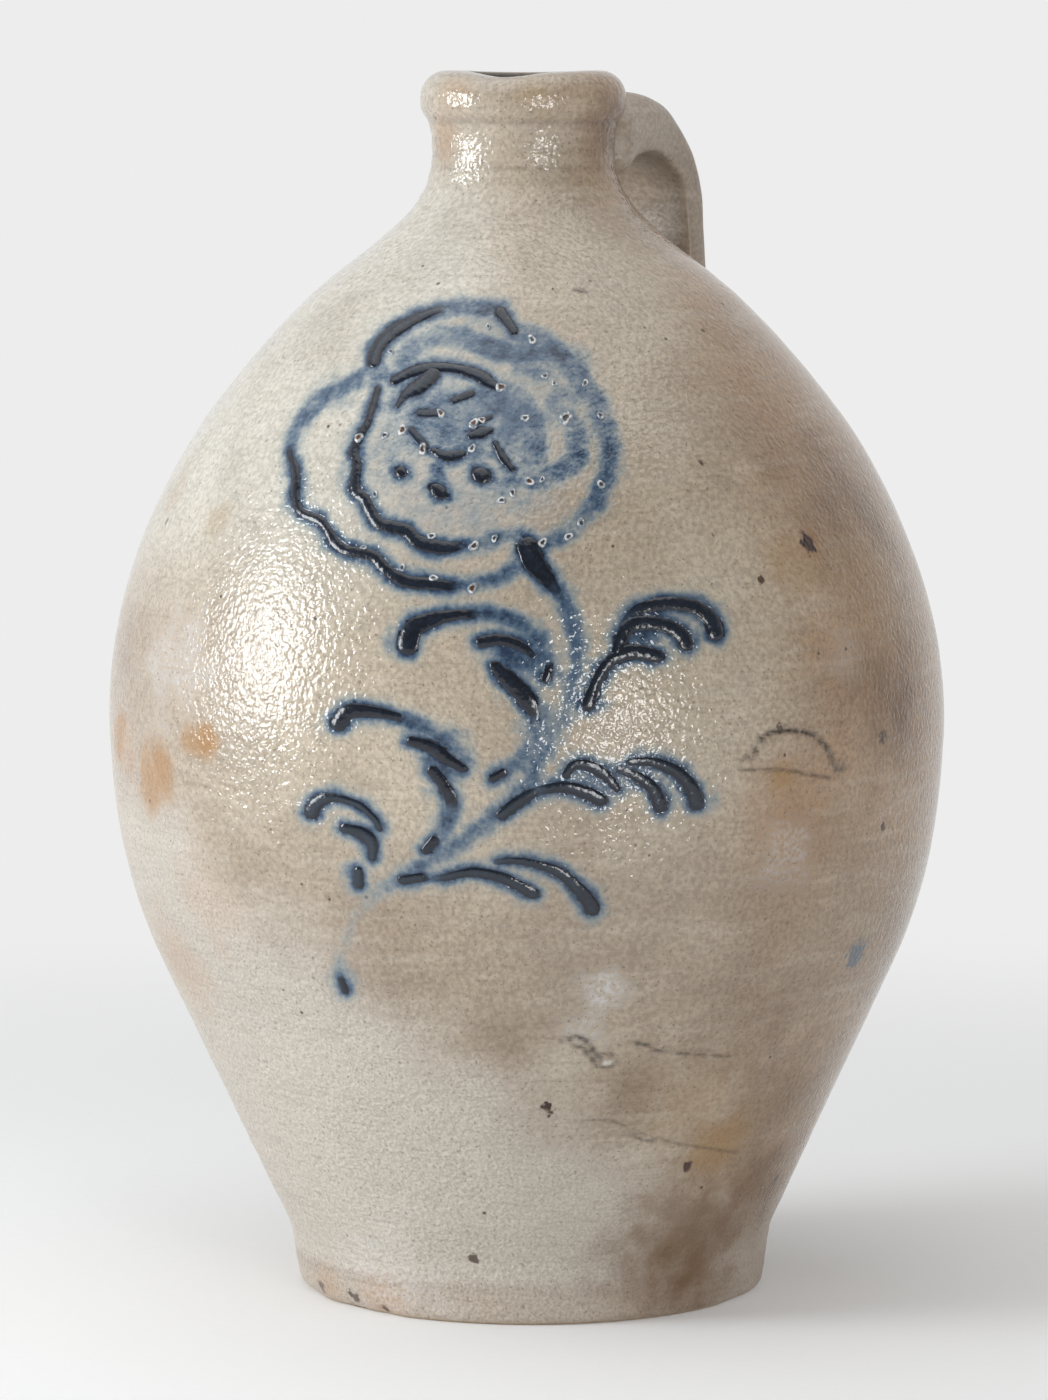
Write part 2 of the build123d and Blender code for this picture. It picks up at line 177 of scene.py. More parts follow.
SLIP_TRAILS = {
    "bloom_outer_rim": [
        ([(-40, 267.5), (-45.5, 265.5), (-51.5, 262.5), (-57, 259.5), (-61.5, 254.5), (-64, 249.5),
          (-65, 245.5), (-63.5, 242), (-63, 238.5), (-63.3, 234.5), (-62, 230.5), (-59, 229),
          (-56, 228), (-54, 225.5), (-52, 222.5), (-49, 220.5), (-45, 220), (-41, 219),
          (-38.5, 216.5), (-35, 214), (-30.5, 212.5), (-25.5, 212.5), (-21, 212), (-14.5, 212.5),
          (-8.5, 214), (-3.5, 216.5), (-0.5, 218)],
         [(0, 4.4), (0.12, 3), (0.3, 2.2), (0.36, 2.4), (0.6, 3.2), (0.75, 3.6), (0.85, 2.6), (1, 2.4)],
         [(0, 0), (0.14, 0.2), (0.28, 0.38), (0.34, 1), (0.78, 1), (0.84, 0.45), (0.88, 0.2), (1, 0.1)]),
    ],
    "bloom_inner_rim": [
        ([(-40.5, 263), (-42, 258), (-43.5, 253.5), (-45.5, 250.5), (-47, 246.5), (-46, 243),
          (-46.5, 239.5), (-46.3, 236), (-44, 234.5), (-42.5, 231.5), (-40, 228), (-36, 227),
          (-32, 226), (-29.5, 223.5), (-25, 222.3), (-21, 222), (-17.5, 222.5), (-13.5, 222.5),
          (-8.5, 224.5), (-2, 225.5)],
         [(0, 2), (0.2, 2.4), (0.4, 3.2), (0.72, 3.8), (0.82, 2.2), (1, 2)],
         [(0, 0.8), (0.74, 1), (0.8, 0.5), (0.84, 0.2), (0.9, 0.3), (0.92, 0.7), (0.94, 0.2), (1, 0.1)]),
    ],
    "bloom_arches": [
        ([(-42, 270.5), (-41, 273.5), (-38.5, 276.5), (-34.5, 279.5), (-29.5, 282), (-24.5, 284),
          (-19, 284.7), (-15, 285), (-10.5, 284.8), (-6.5, 283.5)],
         [(0, 3.8), (0.3, 3.6), (0.55, 1.8), (0.75, 3.4), (1, 3)],
         [(0, 1), (0.5, 1), (0.62, 0.45), (0.7, 0.25), (1, 0.35)]),
        ([(-6.6, 283.6), (-4.5, 281), (-3, 279)], [(0, 3.4), (1, 2.4)], 1),
        ([(-36, 265.4), (-30.5, 268), (-24, 269.2), (-17.5, 268.6), (-12.5, 267), (-8, 264.2)],
         [(0, 2.2), (0.25, 3), (0.6, 2.2), (0.88, 3.4), (1, 2)],
         1),
        ([(-25.5, 267.2), (-28.5, 264.4), (-32.5, 262), (-35, 258.8)],
         [(0, 4.6), (0.4, 4.2), (1, 1.4)],
         [(0, 0.8), (0.6, 0.78), (1, 0.6)]),
    ],
    "bloom_heart": [
        ([(-19.4, 260.4), (-15, 262.2)], [(0, 1.8), (1, 2.4)], 0.75),
        ([(-28.6, 257), (-23.6, 257)], 2.4, 0.62),
        ([(-31, 252.4), (-27.3, 248.4)], 2.4, 0.62),
        ([(-25, 247.2), (-21.5, 245.8), (-17.2, 246.6)], [(0, 1.8), (0.6, 3), (1, 2.2)], 0.85),
        ([(-14.8, 251.3), (-9.4, 252.8)], [(0, 2), (0.6, 3.4), (1, 1.6)], 0.85),
        ([(-14.2, 254.2), (-9.6, 256.2)], 1.6, 0.68),
        ([(-8.2, 249.2), (-6.2, 245.7), (-3.9, 242.8)], [(0, 1.6), (0.6, 2.4), (1, 1.8)], 1),
    ],
    "bloom_dots": [
        ([(-35.5, 241.9), (-32.4, 241.2)], drop_widths(3.1), 1),
        ([(-25.7, 238.2), (-21.6, 235.2)], drop_widths(3.9), 1),
        ([(-14.4, 241.4), (-9.8, 240.6)], drop_widths(4.5), 1),
    ],
    "stem": [
        ([(0.6, 222), (2, 218.4), (5.2, 214.6), (8.6, 210), (11, 206), (13, 201), (13.5, 193),
          (12.5, 185), (9, 176), (3.5, 166.5), (-1, 158.5), (-8, 151.5), (-16, 144.5), (-24, 139.5),
          (-31, 135.5), (-37.5, 131), (-43.5, 125.5), (-47.5, 121), (-49.5, 115), (-51.5, 109),
          (-51.5, 103), (-50.3, 99.3)],
         [(0, 6), (0.025, 6.2), (0.05, 5), (0.09, 3.2), (0.25, 3.2), (0.6, 2.8), (0.75, 2.2),
          (0.95, 1.6), (1, 2.2)],
         [(0, 1), (0.05, 1), (0.075, 0.62), (0.1, 0.42), (0.13, 0.3), (0.3, 0.05), (0.5, 0.2), (0.7, 0.2),
          (0.78, -0.6), (0.86, -1.0), (0.95, -0.8), (0.975, 0.7), (1, 0.8)]),
    ],
    "leaf_left_upper": [
        ([(-32, 196.5), (-30.5, 200.5), (-25.5, 203), (-20, 204.3), (-15.5, 204.6), (-8, 204.4),
          (-1, 202), (3.5, 197), (6, 191.5), (5, 187.5)],
         [(0, 5.8), (0.1, 5.2), (0.28, 3), (0.5, 2.8), (0.9, 2.8), (1, 2.4)],
         [(0, 1), (0.34, 1), (0.44, 0.4), (0.88, 0.3), (0.95, 0.8), (1, 0.8)]),
        ([(-12, 197.3), (-6.5, 198), (-1, 196), (3, 192.5)], [(0, 3.2), (0.5, 3), (1, 1.8)],
         [(0, 1), (0.6, 1), (1, 0.35)]),
        ([(-8.5, 191), (-5, 187.5), (-1, 183.5), (1.5, 179.5), (2, 173.5), (-0.5, 167), (-4, 164),
          (-9.5, 161)],
         [(0, 3), (0.12, 4.8), (0.3, 5.4), (0.42, 3.4), (0.7, 3), (1, 2.2)],
         [(0, 1), (0.34, 1), (0.44, 0.5), (0.6, 0.3), (0.85, 0.1), (0.91, 0.75), (1, 0.8)]),
    ],
    "leaf_left_middle": [
        ([(-50.8, 174.6), (-49, 177.3), (-45.5, 178.3), (-40.5, 178), (-35, 177), (-28.5, 174.5),
          (-22.5, 171), (-17, 165.5)],
         [(0, 4.6), (0.15, 4.1), (0.4, 2.6), (0.7, 3), (1, 2.4)],
         [(0, 1), (0.4, 1), (0.5, 0.4), (1, 0.4)]),
        ([(-31, 170.5), (-26.5, 169.5), (-21.5, 166), (-17.5, 163.6)], [(0, 3), (0.5, 3.8), (1, 2.4)], 1),
        ([(-25.5, 162.5), (-23, 159.5), (-20.5, 154.5), (-21.5, 150), (-23.5, 146), (-27.6, 140.8)],
         [(0, 3.2), (0.35, 3.8), (0.6, 3), (1, 2.4)],
         [(0, 0.9), (0.3, 0.9), (0.46, 0.45), (0.75, 0.25), (0.87, 0.85), (1, 0.85)]),
    ],
    "leaf_left_lower": [
        ([(-58.6, 150), (-57, 152.6), (-54, 154), (-50.5, 154), (-45.5, 152.5), (-41.5, 149),
          (-40, 146.3)],
         [(0, 4.4), (0.15, 3.6), (0.4, 2.2), (1, 1.8)],
         [(0, 0.95), (0.5, 0.95), (1, 0.7)]),
        ([(-49.5, 146), (-45.5, 145), (-42.3, 142.5), (-42, 138.3)], [(0, 2.8), (0.5, 4.2), (1, 2.2)],
         [(0, 0.9), (1, 0.75)]),
        ([(-46, 134.2), (-46, 130.8)], [(0, 2.6), (1, 3.2)], 0.85),
    ],
    "leaf_right_upper": [
        ([(51.2, 199), (50, 202.4), (47, 205), (43.5, 206.4), (37, 207), (30, 205.5), (26, 201.5)],
         [(0, 4.6), (0.2, 4.1), (0.6, 3.6), (1, 3)],
         [(0, 1), (0.6, 1), (0.8, 0.6), (1, 0.5)]),
        ([(43, 196.3), (41.5, 199), (38, 201), (33.5, 202), (28, 201.5), (25.5, 198), (24, 193)],
         [(0, 4.2), (0.3, 3.8), (0.7, 4), (1, 3)], [(0, 1), (0.85, 1), (1, 0.8)]),
        ([(35, 193.2), (29, 194.5), (23.5, 193), (20, 189), (18, 185), (16.5, 180.8)],
         [(0, 3.8), (0.3, 4.2), (0.6, 3.2), (0.85, 3.1), (1, 3.9)], 1),
    ],
    "leaf_right_middle": [
        ([(45.7, 153.4), (44.6, 157), (42, 160.4), (38.5, 163), (33, 165), (28, 165)],
         [(0, 4.5), (0.2, 4.0), (0.6, 3.2), (1, 2.4)], [(0, 0.95), (1, 0.7)]),
        ([(35.7, 153), (34.6, 156), (33, 158.5), (29.5, 161), (25, 163)],
         [(0, 4.1), (0.4, 3.6), (1, 2.6)], [(0, 0.9), (1, 0.6)]),
        ([(24, 158), (21, 161.5), (16.5, 164.3), (12.5, 164.5), (10.5, 162)],
         [(0, 2.4), (0.4, 3.6), (1, 2.6)], [(0, 0.75), (1, 0.7)]),
        ([(19.5, 155), (15.5, 157), (10.5, 158.5), (4.5, 158), (0.5, 156.5), (-1, 155.5),
          (-4, 153.5), (-7, 151)],
         [(0, 3.8), (0.3, 3.4), (0.6, 2.8), (0.85, 3.6), (1, 3.0)],
         [(0, 0.9), (0.4, 0.8), (0.6, 0.5), (0.74, 0.85), (1, 0.9)]),
    ],
    "leaf_right_lower": [
        ([(17.3, 125), (15.5, 128), (13, 131), (8.5, 135), (2, 137.5), (-4, 138.5), (-8.5, 138)],
         [(0, 4.4), (0.25, 3.6), (0.6, 2.5), (1, 1.8)], [(0, 1), (0.6, 0.9), (1, 0.5)]),
        ([(1.2, 129.3), (-4.5, 132.5), (-10, 134.5), (-16, 135), (-22.5, 133.5), (-26.5, 133)],
         [(0, 3.2), (0.4, 3), (0.8, 2.4), (1, 1.6)], [(0, 0.95), (0.6, 0.9), (1, 0.4)]),
        ([(-34, 132.4), (-29.2, 133.2)], 2.8, 0.85),
    ],
}

# How far the middle of the thick slip crawled to slate grey
SLATE_MIDDLES = {
    "bloom_arches": 0.55, "bloom_heart": 0.5, "bloom_inner_rim": 0.25, "bloom_outer_rim": 0.15,
    "leaf_left_lower": 0.7, "leaf_right_middle": 0.55, "leaf_right_lower": 0.6, "leaf_right_upper": 0.25,
}

# Watery blue that sank into the glaze and has no height of its own
WATERY_TRAILS = [
    ([(-34.5, 270), (-30.5, 274.5), (-24, 277.5), (-17, 277), (-10.5, 274.6), (-4.5, 273), (2, 273),
      (8.5, 273.5)], [(0, 3), (0.5, 4.4), (1, 4)], [(0, 0), (0.35, -0.1), (0.6, 0.4), (0.8, 0.2), (1, 0.4)]),
    ([(-3, 279), (2.5, 276.5), (8.5, 273), (13.5, 268), (18.5, 261.5), (21, 256), (22.5, 250),
      (22.5, 243.5), (21, 238), (18.5, 233), (14, 229), (9, 225), (3.5, 223)],
     [(0, 4.5), (0.3, 5), (0.6, 4), (1, 3.4)], [(0, 0.1), (0.2, 0.3), (0.35, 0), (0.6, 0.2), (0.8, 0), (1, 0)]),
    ([(19.5, 259), (21, 254.5), (22.5, 250), (22.5, 243.5), (21, 239.5)], 1.4, 0.41),
    ([(-16, 275.8), (-10.5, 273.6), (-5, 272.2), (1, 272.6)], 1.8, [(0, 0.1), (0.6, 0.41), (1, 0.3)]),
    ([(6, 274), (10, 271), (13.5, 267)], 2.2, [(0, 0.2), (0.5, 0.41), (1, 0.2)]),
    ([(-2, 261.5), (2, 257.5), (3, 252.5), (2.5, 246), (-2, 240.5), (-6.5, 237.5)],
     4, [(0, 0), (0.5, 0.2), (1, -0.3)]),
    ([(7, 260.5), (11.5, 256), (14, 251), (14, 246), (11, 243), (5.5, 240.5), (1, 239.5)],
     [(0, 3), (0.5, 4.2), (1, 3)], [(0, -0.2), (0.5, 0.2), (1, 0)]),
    ([(-24, 243), (-23.7, 238.5)], 2.4, 0.2),
]

# The blue halo round every stroke: strength, reach
HALO = [(0.72, 2.0), (0.28, 4.6)]

# Soft patches of wash: across, height, half width, half height, strength
WASH_PATCHES = [
    (-9, 260, 14, 8, 0.72), (-2, 254, 10, 11, 0.74), (4, 269, 11, 6, 0.6), (-23, 255, 17, 12, 0.72),
    (-31, 262, 10, 6, 0.68), (-18, 233, 21, 11, 0.3), (-38, 246, 6, 12, 0.4), (-3.5, 194, 9, 8, 0.9),
    (-22, 166, 8, 9, 0.92), (31, 199, 9, 5, 0.85), (18.5, 160, 11, 4.5, 0.68), (2, 195, 6, 9, 0.86),
    (10, 260, 10, 10, 0.44), (36, 203, 9, 4, 0.72), (-43, 143, 5, 5, 0.62), (-22, 226, 14, 5, 0.28),
    (-12, 281, 13, 5, 0.42), (12, 270, 8, 6, 0.62), (-14, 249, 12, 7, 0.66), (-52, 262, 8, 6, 0.4),
    (3, 176, 6, 10, 0.6), (-4, 235, 14, 6, 0.34), (30, 160, 8, 4, 0.5),
]

# The drip that fell on the wall in the kiln, and its dark ring
KILN_DRIP, DRIP_RADIUS = (21.2, 80.5), 2.3

# Marks in the skin: line, width, height of the ridge or groove, darkness
SKIN_MARKS = {
    "flake_edge": ([(59, 164.3), (61.5, 166), (64, 170), (68.5, 171.4), (76, 170.4), (80.5, 167.4),
                    (83.3, 162.8), (84.6, 159)], 0.75, -0.45, 1.0),
    "flake_crease": ([(58, 161.5), (70, 160.7), (77, 158.7), (84, 157)], 0.5, -0.25, 0.7),
    "kiln_drip_tail": ([(9.5, 86.4), (13, 87.6), (15.5, 86.4), (17.5, 83.4), (19.5, 81.2)], 0.8, -0.6, 0.95),
    "kiln_drip_lip": ([(12, 84.8), (14.6, 84.4), (16, 82.4), (17.6, 80.2), (19, 78.6)], 0.7, -0.5, 0.8),
    "kiln_drip": ([(20.6, 80.9), (21.8, 80.1)], 1.9, 1.5, 0.0),
    "drag_dash_a": ([(29.5, 85), (32.5, 84.3)], 0.6, -0.3, 0.95),
    "drag_dash_b": ([(34.4, 82.8), (37, 82.2)], 0.55, -0.3, 0.9),
    "drag_dash_c": ([(39.4, 81.6), (41, 81.3), (43.6, 81)], 0.5, -0.2, 0.7),
    "drag_dash_d": ([(45.5, 80.6), (48, 80.2)], 0.5, -0.2, 0.7),
    "drag_dash_e": ([(50, 79.8), (55, 79)], 0.5, -0.2, 0.75),
    "scratch_arc": ([(14.5, 62), (22, 62.2), (29, 58.4), (40.5, 53.7), (50.5, 50.7), (58, 48)], 0.5, -0.3, 0.5),
    "scratch_nick": ([(28, 57.5), (31, 55.6), (34, 55)], 0.6, -0.3, 0.6),
    "hairline": ([(28, 116), (29.5, 108), (30.5, 100), (33, 92)], 0.35, -0.1, 0.28),
    "shoulder_nick": ([(14, 289.6), (17, 289.2)], 0.5, -0.3, 0.85),
}


def curve_through(path, step=0.5):
    """Even points on a smooth curve through the given ones."""
    stops = np.array([path[0], *path, path[-1]], float)
    line = []
    for a, b, c, d in zip(stops, stops[1:], stops[2:], stops[3:]):
        for t in np.linspace(0, 1, 13)[:-1]:
            line.append(0.5 * (2 * b + (c - a) * t + (2 * a - 5 * b + 4 * c - d) * t**2
                               + (3 * b - a - 3 * c + d) * t**3))
    line = np.array(line + [stops[-1]])
    run = run_of(line)
    even = np.linspace(0, run[-1], max(3, int(run[-1] / step) + 1))
    return places_on(line, run, even), even


class Trail:
    """A stroke of slip: its middle line, half widths and loads at even steps."""

    def __init__(self, path, widths, loads):
        self.line, self.run = curve_through(path)
        shares = self.run / self.run[-1]
        self.half = keyed(widths, shares) / 2
        self.load = keyed(loads, shares)
        self.blue = np.clip(0.66 + 0.42 * self.load, 0.14, 1)


TRAILS = {node: [Trail(*row) for row in rows] for node, rows in SLIP_TRAILS.items()}
ALL_TRAILS = [trail for trails in TRAILS.values() for trail in trails] + [Trail(*row) for row in WATERY_TRAILS]
MARK_LINES = {name: curve_through(row[0])[0] for name, row in SKIN_MARKS.items()}


def line_gap(points, line, half=0.0, reach=8.0):
    """Distance from points to a line less its half width, with the nearest step of the line."""
    low, high = line.min(0) - reach, line.max(0) + reach
    close = np.flatnonzero(((points > low) & (points < high)).all(1))
    if not len(close):
        return close, np.zeros(0), np.zeros(0, int)
    gaps = np.linalg.norm(points[close, None] - line[None], axis=2) - half
    step = gaps.argmin(1)
    return close, gaps[np.arange(len(close)), step], step


def slip_fields(points):
    """How blue and how thickly covered the front is at (across, height) points."""
    wash, load = np.zeros(len(points)), np.zeros(len(points))
    for across, z, half_width, half_height, strength in WASH_PATCHES:
        spread = ((points[:, 0] - across) / half_width) ** 2 + ((points[:, 1] - z) / half_height) ** 2
        wash = np.maximum(wash, strength * np.exp(-1.2 * spread**1.5))
    for trail in ALL_TRAILS:
        close, gap, step = line_gap(points, trail.line, trail.half)
        depth = np.maximum(gap + 0.7, 0)
        halo = sum(strength * np.exp(-((depth / reach) ** 2)) for strength, reach in HALO)
        wash[close] = np.maximum(wash[close], trail.blue[step] * halo)
        load[close] = np.maximum(load[close], trail.load[step] * smooth(0.35, -0.55, gap))
    return wash, load


def mark_fields(points):
    """Height and darkness of the skin's marks at (across, height) points."""
    lift, dark = np.zeros(len(points)), np.zeros(len(points))
    for name, (_, width, height, darkness) in SKIN_MARKS.items():
        close, gap, _ = line_gap(points, MARK_LINES[name])
        shape = np.exp(-((gap / width) ** 2))
        lift[close] += height * shape
        dark[close] = np.maximum(dark[close], darkness * shape)
    ring = np.hypot(points[:, 0] - KILN_DRIP[0], (points[:, 1] - KILN_DRIP[1]) * 1.1)
    dark = np.maximum(dark, 0.75 * np.exp(-(((ring - DRIP_RADIUS) / 0.5) ** 2)))
    return lift, dark


# Places on the thrown body

def to_view(points):
    """Across, towards the viewer and up, in millimetres, from the jug's frame in metres."""
    return np.stack([points @ RIGHT, points @ TOWARD, points[:, 2]], 1) / MM


def to_jug(view):
    """Back to the jug's frame in metres, with the lean that the pot took in the kiln."""
    across = view[:, 0] - LEAN * (view[:, 2] - BELLY_HEIGHT)
    place = across[:, None] * RIGHT + view[:, 1:2] * TOWARD
    place[:, 2] = view[:, 2]
    return place * MM


# How much fuller or flatter than its arc the wall was thrown, by height
WALL_FULLNESS = [
    (160, 0.2), (172, 0.4), (190, 0.4), (210, 0.0), (232, -0.5), (250, -0.7), (262, -1.0), (271, -0.5),
    (279, 0.4), (287, 1.4), (293, 0.9), (299, -0.3), (306, -0.7), (312, 0.0),
]
# Rings that the potter's fingers left: height, depth, width
THROWING_RINGS = [
    (335.8, 0.5, 1.0), (327.2, 0.3, 0.8), (322.2, 0.3, 0.9), (317.0, 0.15, 1.0), (330.8, 0.15, 0.8),
    (324.8, 0.15, 0.8), (319.5, 0.14, 0.8),
]
# Painted shade lines in the throwing rings' grooves, and a painted shadow line above the foot where no groove is
# cut: height, darkness
RING_SHADE_LINES = [(335.6, 0.3), (327.2, 0.2), (322.2, 0.24), (330.8, 0.12), (324.8, 0.1), (319.5, 0.12), (9.5, 0.14)]
RING_SHADE_WIDTH = 0.9
# Chips in the foot's edge: across, depth, size
FOOT_CHIPS = [(-63, 1.4, 4.0), (-50.5, 1.8, 5.0), (-41.5, 1.2, 3.5), (58, 0.9, 4.0)]
LIP_DIP = 1.5
# The decorated side lies nearer to the viewer than this, and above this the slip and the marks begin
FRONT_EDGE, MARKS_BOTTOM = 20, 20


def ring_groove(turn, z, ring_z, width):
    """A ring that wanders a little in height on its way round."""
    return np.exp(-(((z - ring_z - 0.4 * np.sin(turn + ring_z)) / width) ** 2))


def thrown_swell(view):
    """How far the hand-thrown wall stands out from its true outline, by place on the outside."""
    turn, z = np.arctan2(view[:, 0], view[:, 1]), view[:, 2]
    radius = wall_radius(z)
    true = np.stack([radius * np.sin(turn), radius * np.cos(turn), z], 1)
    middle = np.sin(math.pi * np.clip(z / JUG_HEIGHT, 0, 1))
    swell = keyed(WALL_FULLNESS, z) * (smooth(150, 165, z) * smooth(318, 310, z))
    swell += 0.25 * np.cos(3 * turn - 1.1) * middle
    swell += 0.35 * rough(true, 42) * middle + 0.12 * rough(true, 13)
    streaks = np.stack([turn * 0.7, np.zeros_like(turn), z / 3.4], 1)
    swell += (0.05 + 0.12 * smooth(120, 60, z) + 0.1 * smooth(300, 318, z)) * rough(streaks, 1.0)
    for ring_z, depth, width in THROWING_RINGS:
        swell -= depth * ring_groove(turn, z, ring_z, width)
    front = np.flatnonzero(view[:, 1] > FRONT_EDGE)
    lift, _ = mark_fields(np.stack([true[front, 0], z[front]], 1))
    swell[front] += lift * (1 + 0.5 * rough(true[front], 0.9))
    return swell * smooth(1.5, 6, z) * smooth(349.5, 345, z)


def front_place(points, lift):
    """Places on the decorated side, lifted off the wall along its normal."""
    across, z = points.T
    radius = wall_radius(z)
    towards = np.sqrt(np.maximum(radius**2 - across**2, 1.0))
    radius = radius + thrown_swell(np.stack([across, towards, z], 1))
    towards = np.sqrt(np.maximum(radius**2 - across**2, 1.0))
    slope = wall_radius(z + 0.5) - wall_radius(z - 0.5)
    normal = np.stack([across / radius, towards / radius, -slope], 1) / np.sqrt(1 + slope**2)[:, None]
    return to_jug(np.stack([across, towards, z], 1) + normal * lift[:, None])


# Hand tools

def take(piece):
    """Select one piece alone."""
    bpy.ops.object.select_all(action="DESELECT")
    piece.select_set(True)
    bpy.context.view_layer.objects.active = piece


def fresh(add, **settings):
    """A new mesh from one of the simple shapes, selected alone."""
    bpy.ops.object.select_all(action="DESELECT")
    add(**settings)
    return bpy.context.view_layer.objects.active


@contextmanager
def edit_mode(kind, everything=True):
    """Edit mode for the tools of a block, with points, edges or faces picked."""
    bpy.ops.object.mode_set(mode="EDIT")
    bpy.ops.mesh.select_mode(type=kind)
    if everything:
        bpy.ops.mesh.select_all(action="SELECT")
    yield
    bpy.ops.object.mode_set(mode="OBJECT")


def apply_modifier(piece, kind, **settings):
    bpy.ops.object.modifier_add(type=kind)
    modifier = piece.modifiers[-1]
    for key, value in settings.items():
        setattr(modifier, key, value)
    bpy.ops.object.modifier_apply(modifier=modifier.name)


def corners_of(piece):
    flat = np.empty(len(piece.data.vertices) * 3)
    piece.data.vertices.foreach_get("co", flat)
    return flat.reshape(-1, 3)


def reshape(piece, places):
    piece.data.vertices.foreach_set("co", np.ascontiguousarray(places, float).ravel())
    piece.data.update()


def note(piece, name, values):
    """Keep a number on each point of a piece, for its finish."""
    layer = piece.data.attributes.get(name) or piece.data.attributes.new(name, "FLOAT", "POINT")
    layer.data.foreach_set("value", np.ascontiguousarray(values, np.float32))


def name_piece(piece, name):
    piece.name = name
    piece.data.name = name
    return piece


def join_pieces(pieces, name):
    take(pieces[0])
    for piece in pieces:
        piece.select_set(True)
    if len(pieces) > 1:
        bpy.ops.object.join()
    return name_piece(bpy.context.view_layer.objects.active, name)


def seat_piece(piece, node, finish):
    piece.data.materials.clear()
    piece.data.materials.append(finish)
    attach(piece, "root")
    if node:
        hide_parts(node)


# The body: close steps round the front, wider ones behind, finer faces within these margins of slip and marks
FRONT_TURN, FRONT_STEPS = math.radians(156), 142
BACK_TURN, BACK_STEPS = math.radians(204), 68
SLIP_MARGIN, MARK_MARGIN = 3.0, 2.6


def throw_body():
    """Draw the half outline point by point, spin it close in front and wider behind, then work it."""
    start = math.atan2(TOWARD[1], TOWARD[0]) - FRONT_TURN / 2
    aim = np.array([math.cos(start), math.sin(start)])
    outline = [Vector((*(row[0] * aim), row[1])) for row in body_rows() * MM]
    body = fresh(bpy.ops.mesh.primitive_plane_add, size=0.001, location=(0, 0, 0))
    with edit_mode("VERT"):
        bpy.ops.mesh.merge(type="CENTER")
        for here, there in zip(outline, outline[1:]):
            bpy.ops.mesh.extrude_vertices_move(TRANSFORM_OT_translate={"value": there - here})
        bpy.ops.mesh.select_all(action="SELECT")
        for steps, angle in ((FRONT_STEPS, FRONT_TURN), (BACK_STEPS, BACK_TURN)):
            bpy.ops.mesh.spin(steps=steps, angle=angle, center=(0, 0, 0), axis=(0, 0, 1))
        bpy.ops.mesh.select_all(action="SELECT")
        bpy.ops.mesh.remove_doubles(threshold=2e-5)
        bpy.ops.mesh.normals_make_consistent(inside=False)
        bpy.ops.mesh.select_all(action="DESELECT")
    refine_skin(body)
    work_wall(body)
    return name_piece(body, "thrown_body")


def refine_skin(body):
    """Divide the faces near the slip and the marks, so that they hold fine edges."""
    centres = np.empty(len(body.data.polygons) * 3)
    body.data.polygons.foreach_get("center", centres)
    view = to_view(centres.reshape(-1, 3))
    outside = np.hypot(view[:, 0], view[:, 1]) > wall_radius(view[:, 2]) - 1
    front = np.flatnonzero(outside & (view[:, 1] > FRONT_EDGE) & (view[:, 2] > MARKS_BOTTOM))
    points = view[front][:, [0, 2]]
    near = np.zeros(len(front), bool)
    lines = [(trail.line, trail.half, SLIP_MARGIN) for trail in ALL_TRAILS]
    lines += [(line, 0.0, MARK_MARGIN) for line in MARK_LINES.values()]
    for line, half, margin in lines:
        close, gap, _ = line_gap(points, line, half)
        near[close[gap < margin]] = True
    chosen = np.zeros(len(body.data.polygons), bool)
    chosen[front[near]] = True
    body.data.polygons.foreach_set("select", chosen)
    take(body)
    with edit_mode("FACE", everything=False):
        bpy.ops.mesh.subdivide(number_cuts=2)
        bpy.ops.mesh.select_all(action="DESELECT")


def work_wall(body):
    """Give the wall its hand-thrown unevenness, the low place in the lip and the chipped foot."""
    view = to_view(corners_of(body))
    around = np.hypot(view[:, 0], view[:, 1])
    turn, z = np.arctan2(view[:, 0], view[:, 1]), view[:, 2]
    outside = around > wall_radius(z) - 0.6
    swell = np.where(outside, thrown_swell(view), 0.0)
    for across, chip, size in FOOT_CHIPS:
        gap = np.hypot(view[:, 0] - across, 1.3 * z)
        swell -= np.where(outside & (view[:, 1] > 0), chip * np.exp(-((gap / size) ** 2)), 0)
    view[:, :2] *= (1 + swell / np.maximum(around, 1))[:, None]
    dip = LIP_DIP * np.exp(-(((turn + 0.3) / 0.5) ** 2)) + 0.25 * np.cos(2 * turn)
    view[:, 2] -= np.where(around < 40, dip * smooth(339, 350, z), 0)
    reshape(body, to_jug(view))

    points = view[:, [0, 2]]
    front = np.flatnonzero(outside & (view[:, 1] > FRONT_EDGE))
    for name, values in zip(("slip_wash", "slip_load"), slip_fields(points[front])):
        whole = np.zeros(len(points))
        whole[front] = values
        note(body, name, whole)
    dark = np.zeros(len(points))
    dark[front] = mark_fields(points[front])[1]
    # Painted shade in the ring grooves and a painted shadow line above the foot join the marks' darkness
    for ring_z, ring_shade in RING_SHADE_LINES:
        dark = np.maximum(dark, np.where(outside, ring_shade * ring_groove(turn, z, ring_z, RING_SHADE_WIDTH), 0))
    note(body, "marks_and_ring_shade", dark)
    note(body, "bare_clay", np.where(z < 0.6, 1.0, 0.0))
    # Painted shade: the bore and the inner lip are darkened where shade falls inside the mouth
    note(body, "bore_shade", np.where(z > 300, smooth(18.0, 15.5, around), 0.0))
    take(body)
    bpy.ops.object.shade_smooth()


# The handle

def strap_section(turn, width, thickness, pressed):
    """Across and depth of the strap's section: crowned outside, dished inside, rounder where pressed on."""
    c, s = np.cos(turn), np.sin(turn)
    side = np.sign(c) * np.abs(c) ** (0.5 + 0.42 * pressed) * width / 2
    depth = np.sign(s) * np.abs(s) ** (np.where(s > 0, 0.6, 0.42) + 0.36 * pressed) * thickness / 2
    flat = 1 - (side / (width / 2)) ** 2
    depth = np.where(s >= 0, depth + 1.2 * flat, depth + (3.6 - 1.6 * pressed) * flat)
    return side, depth


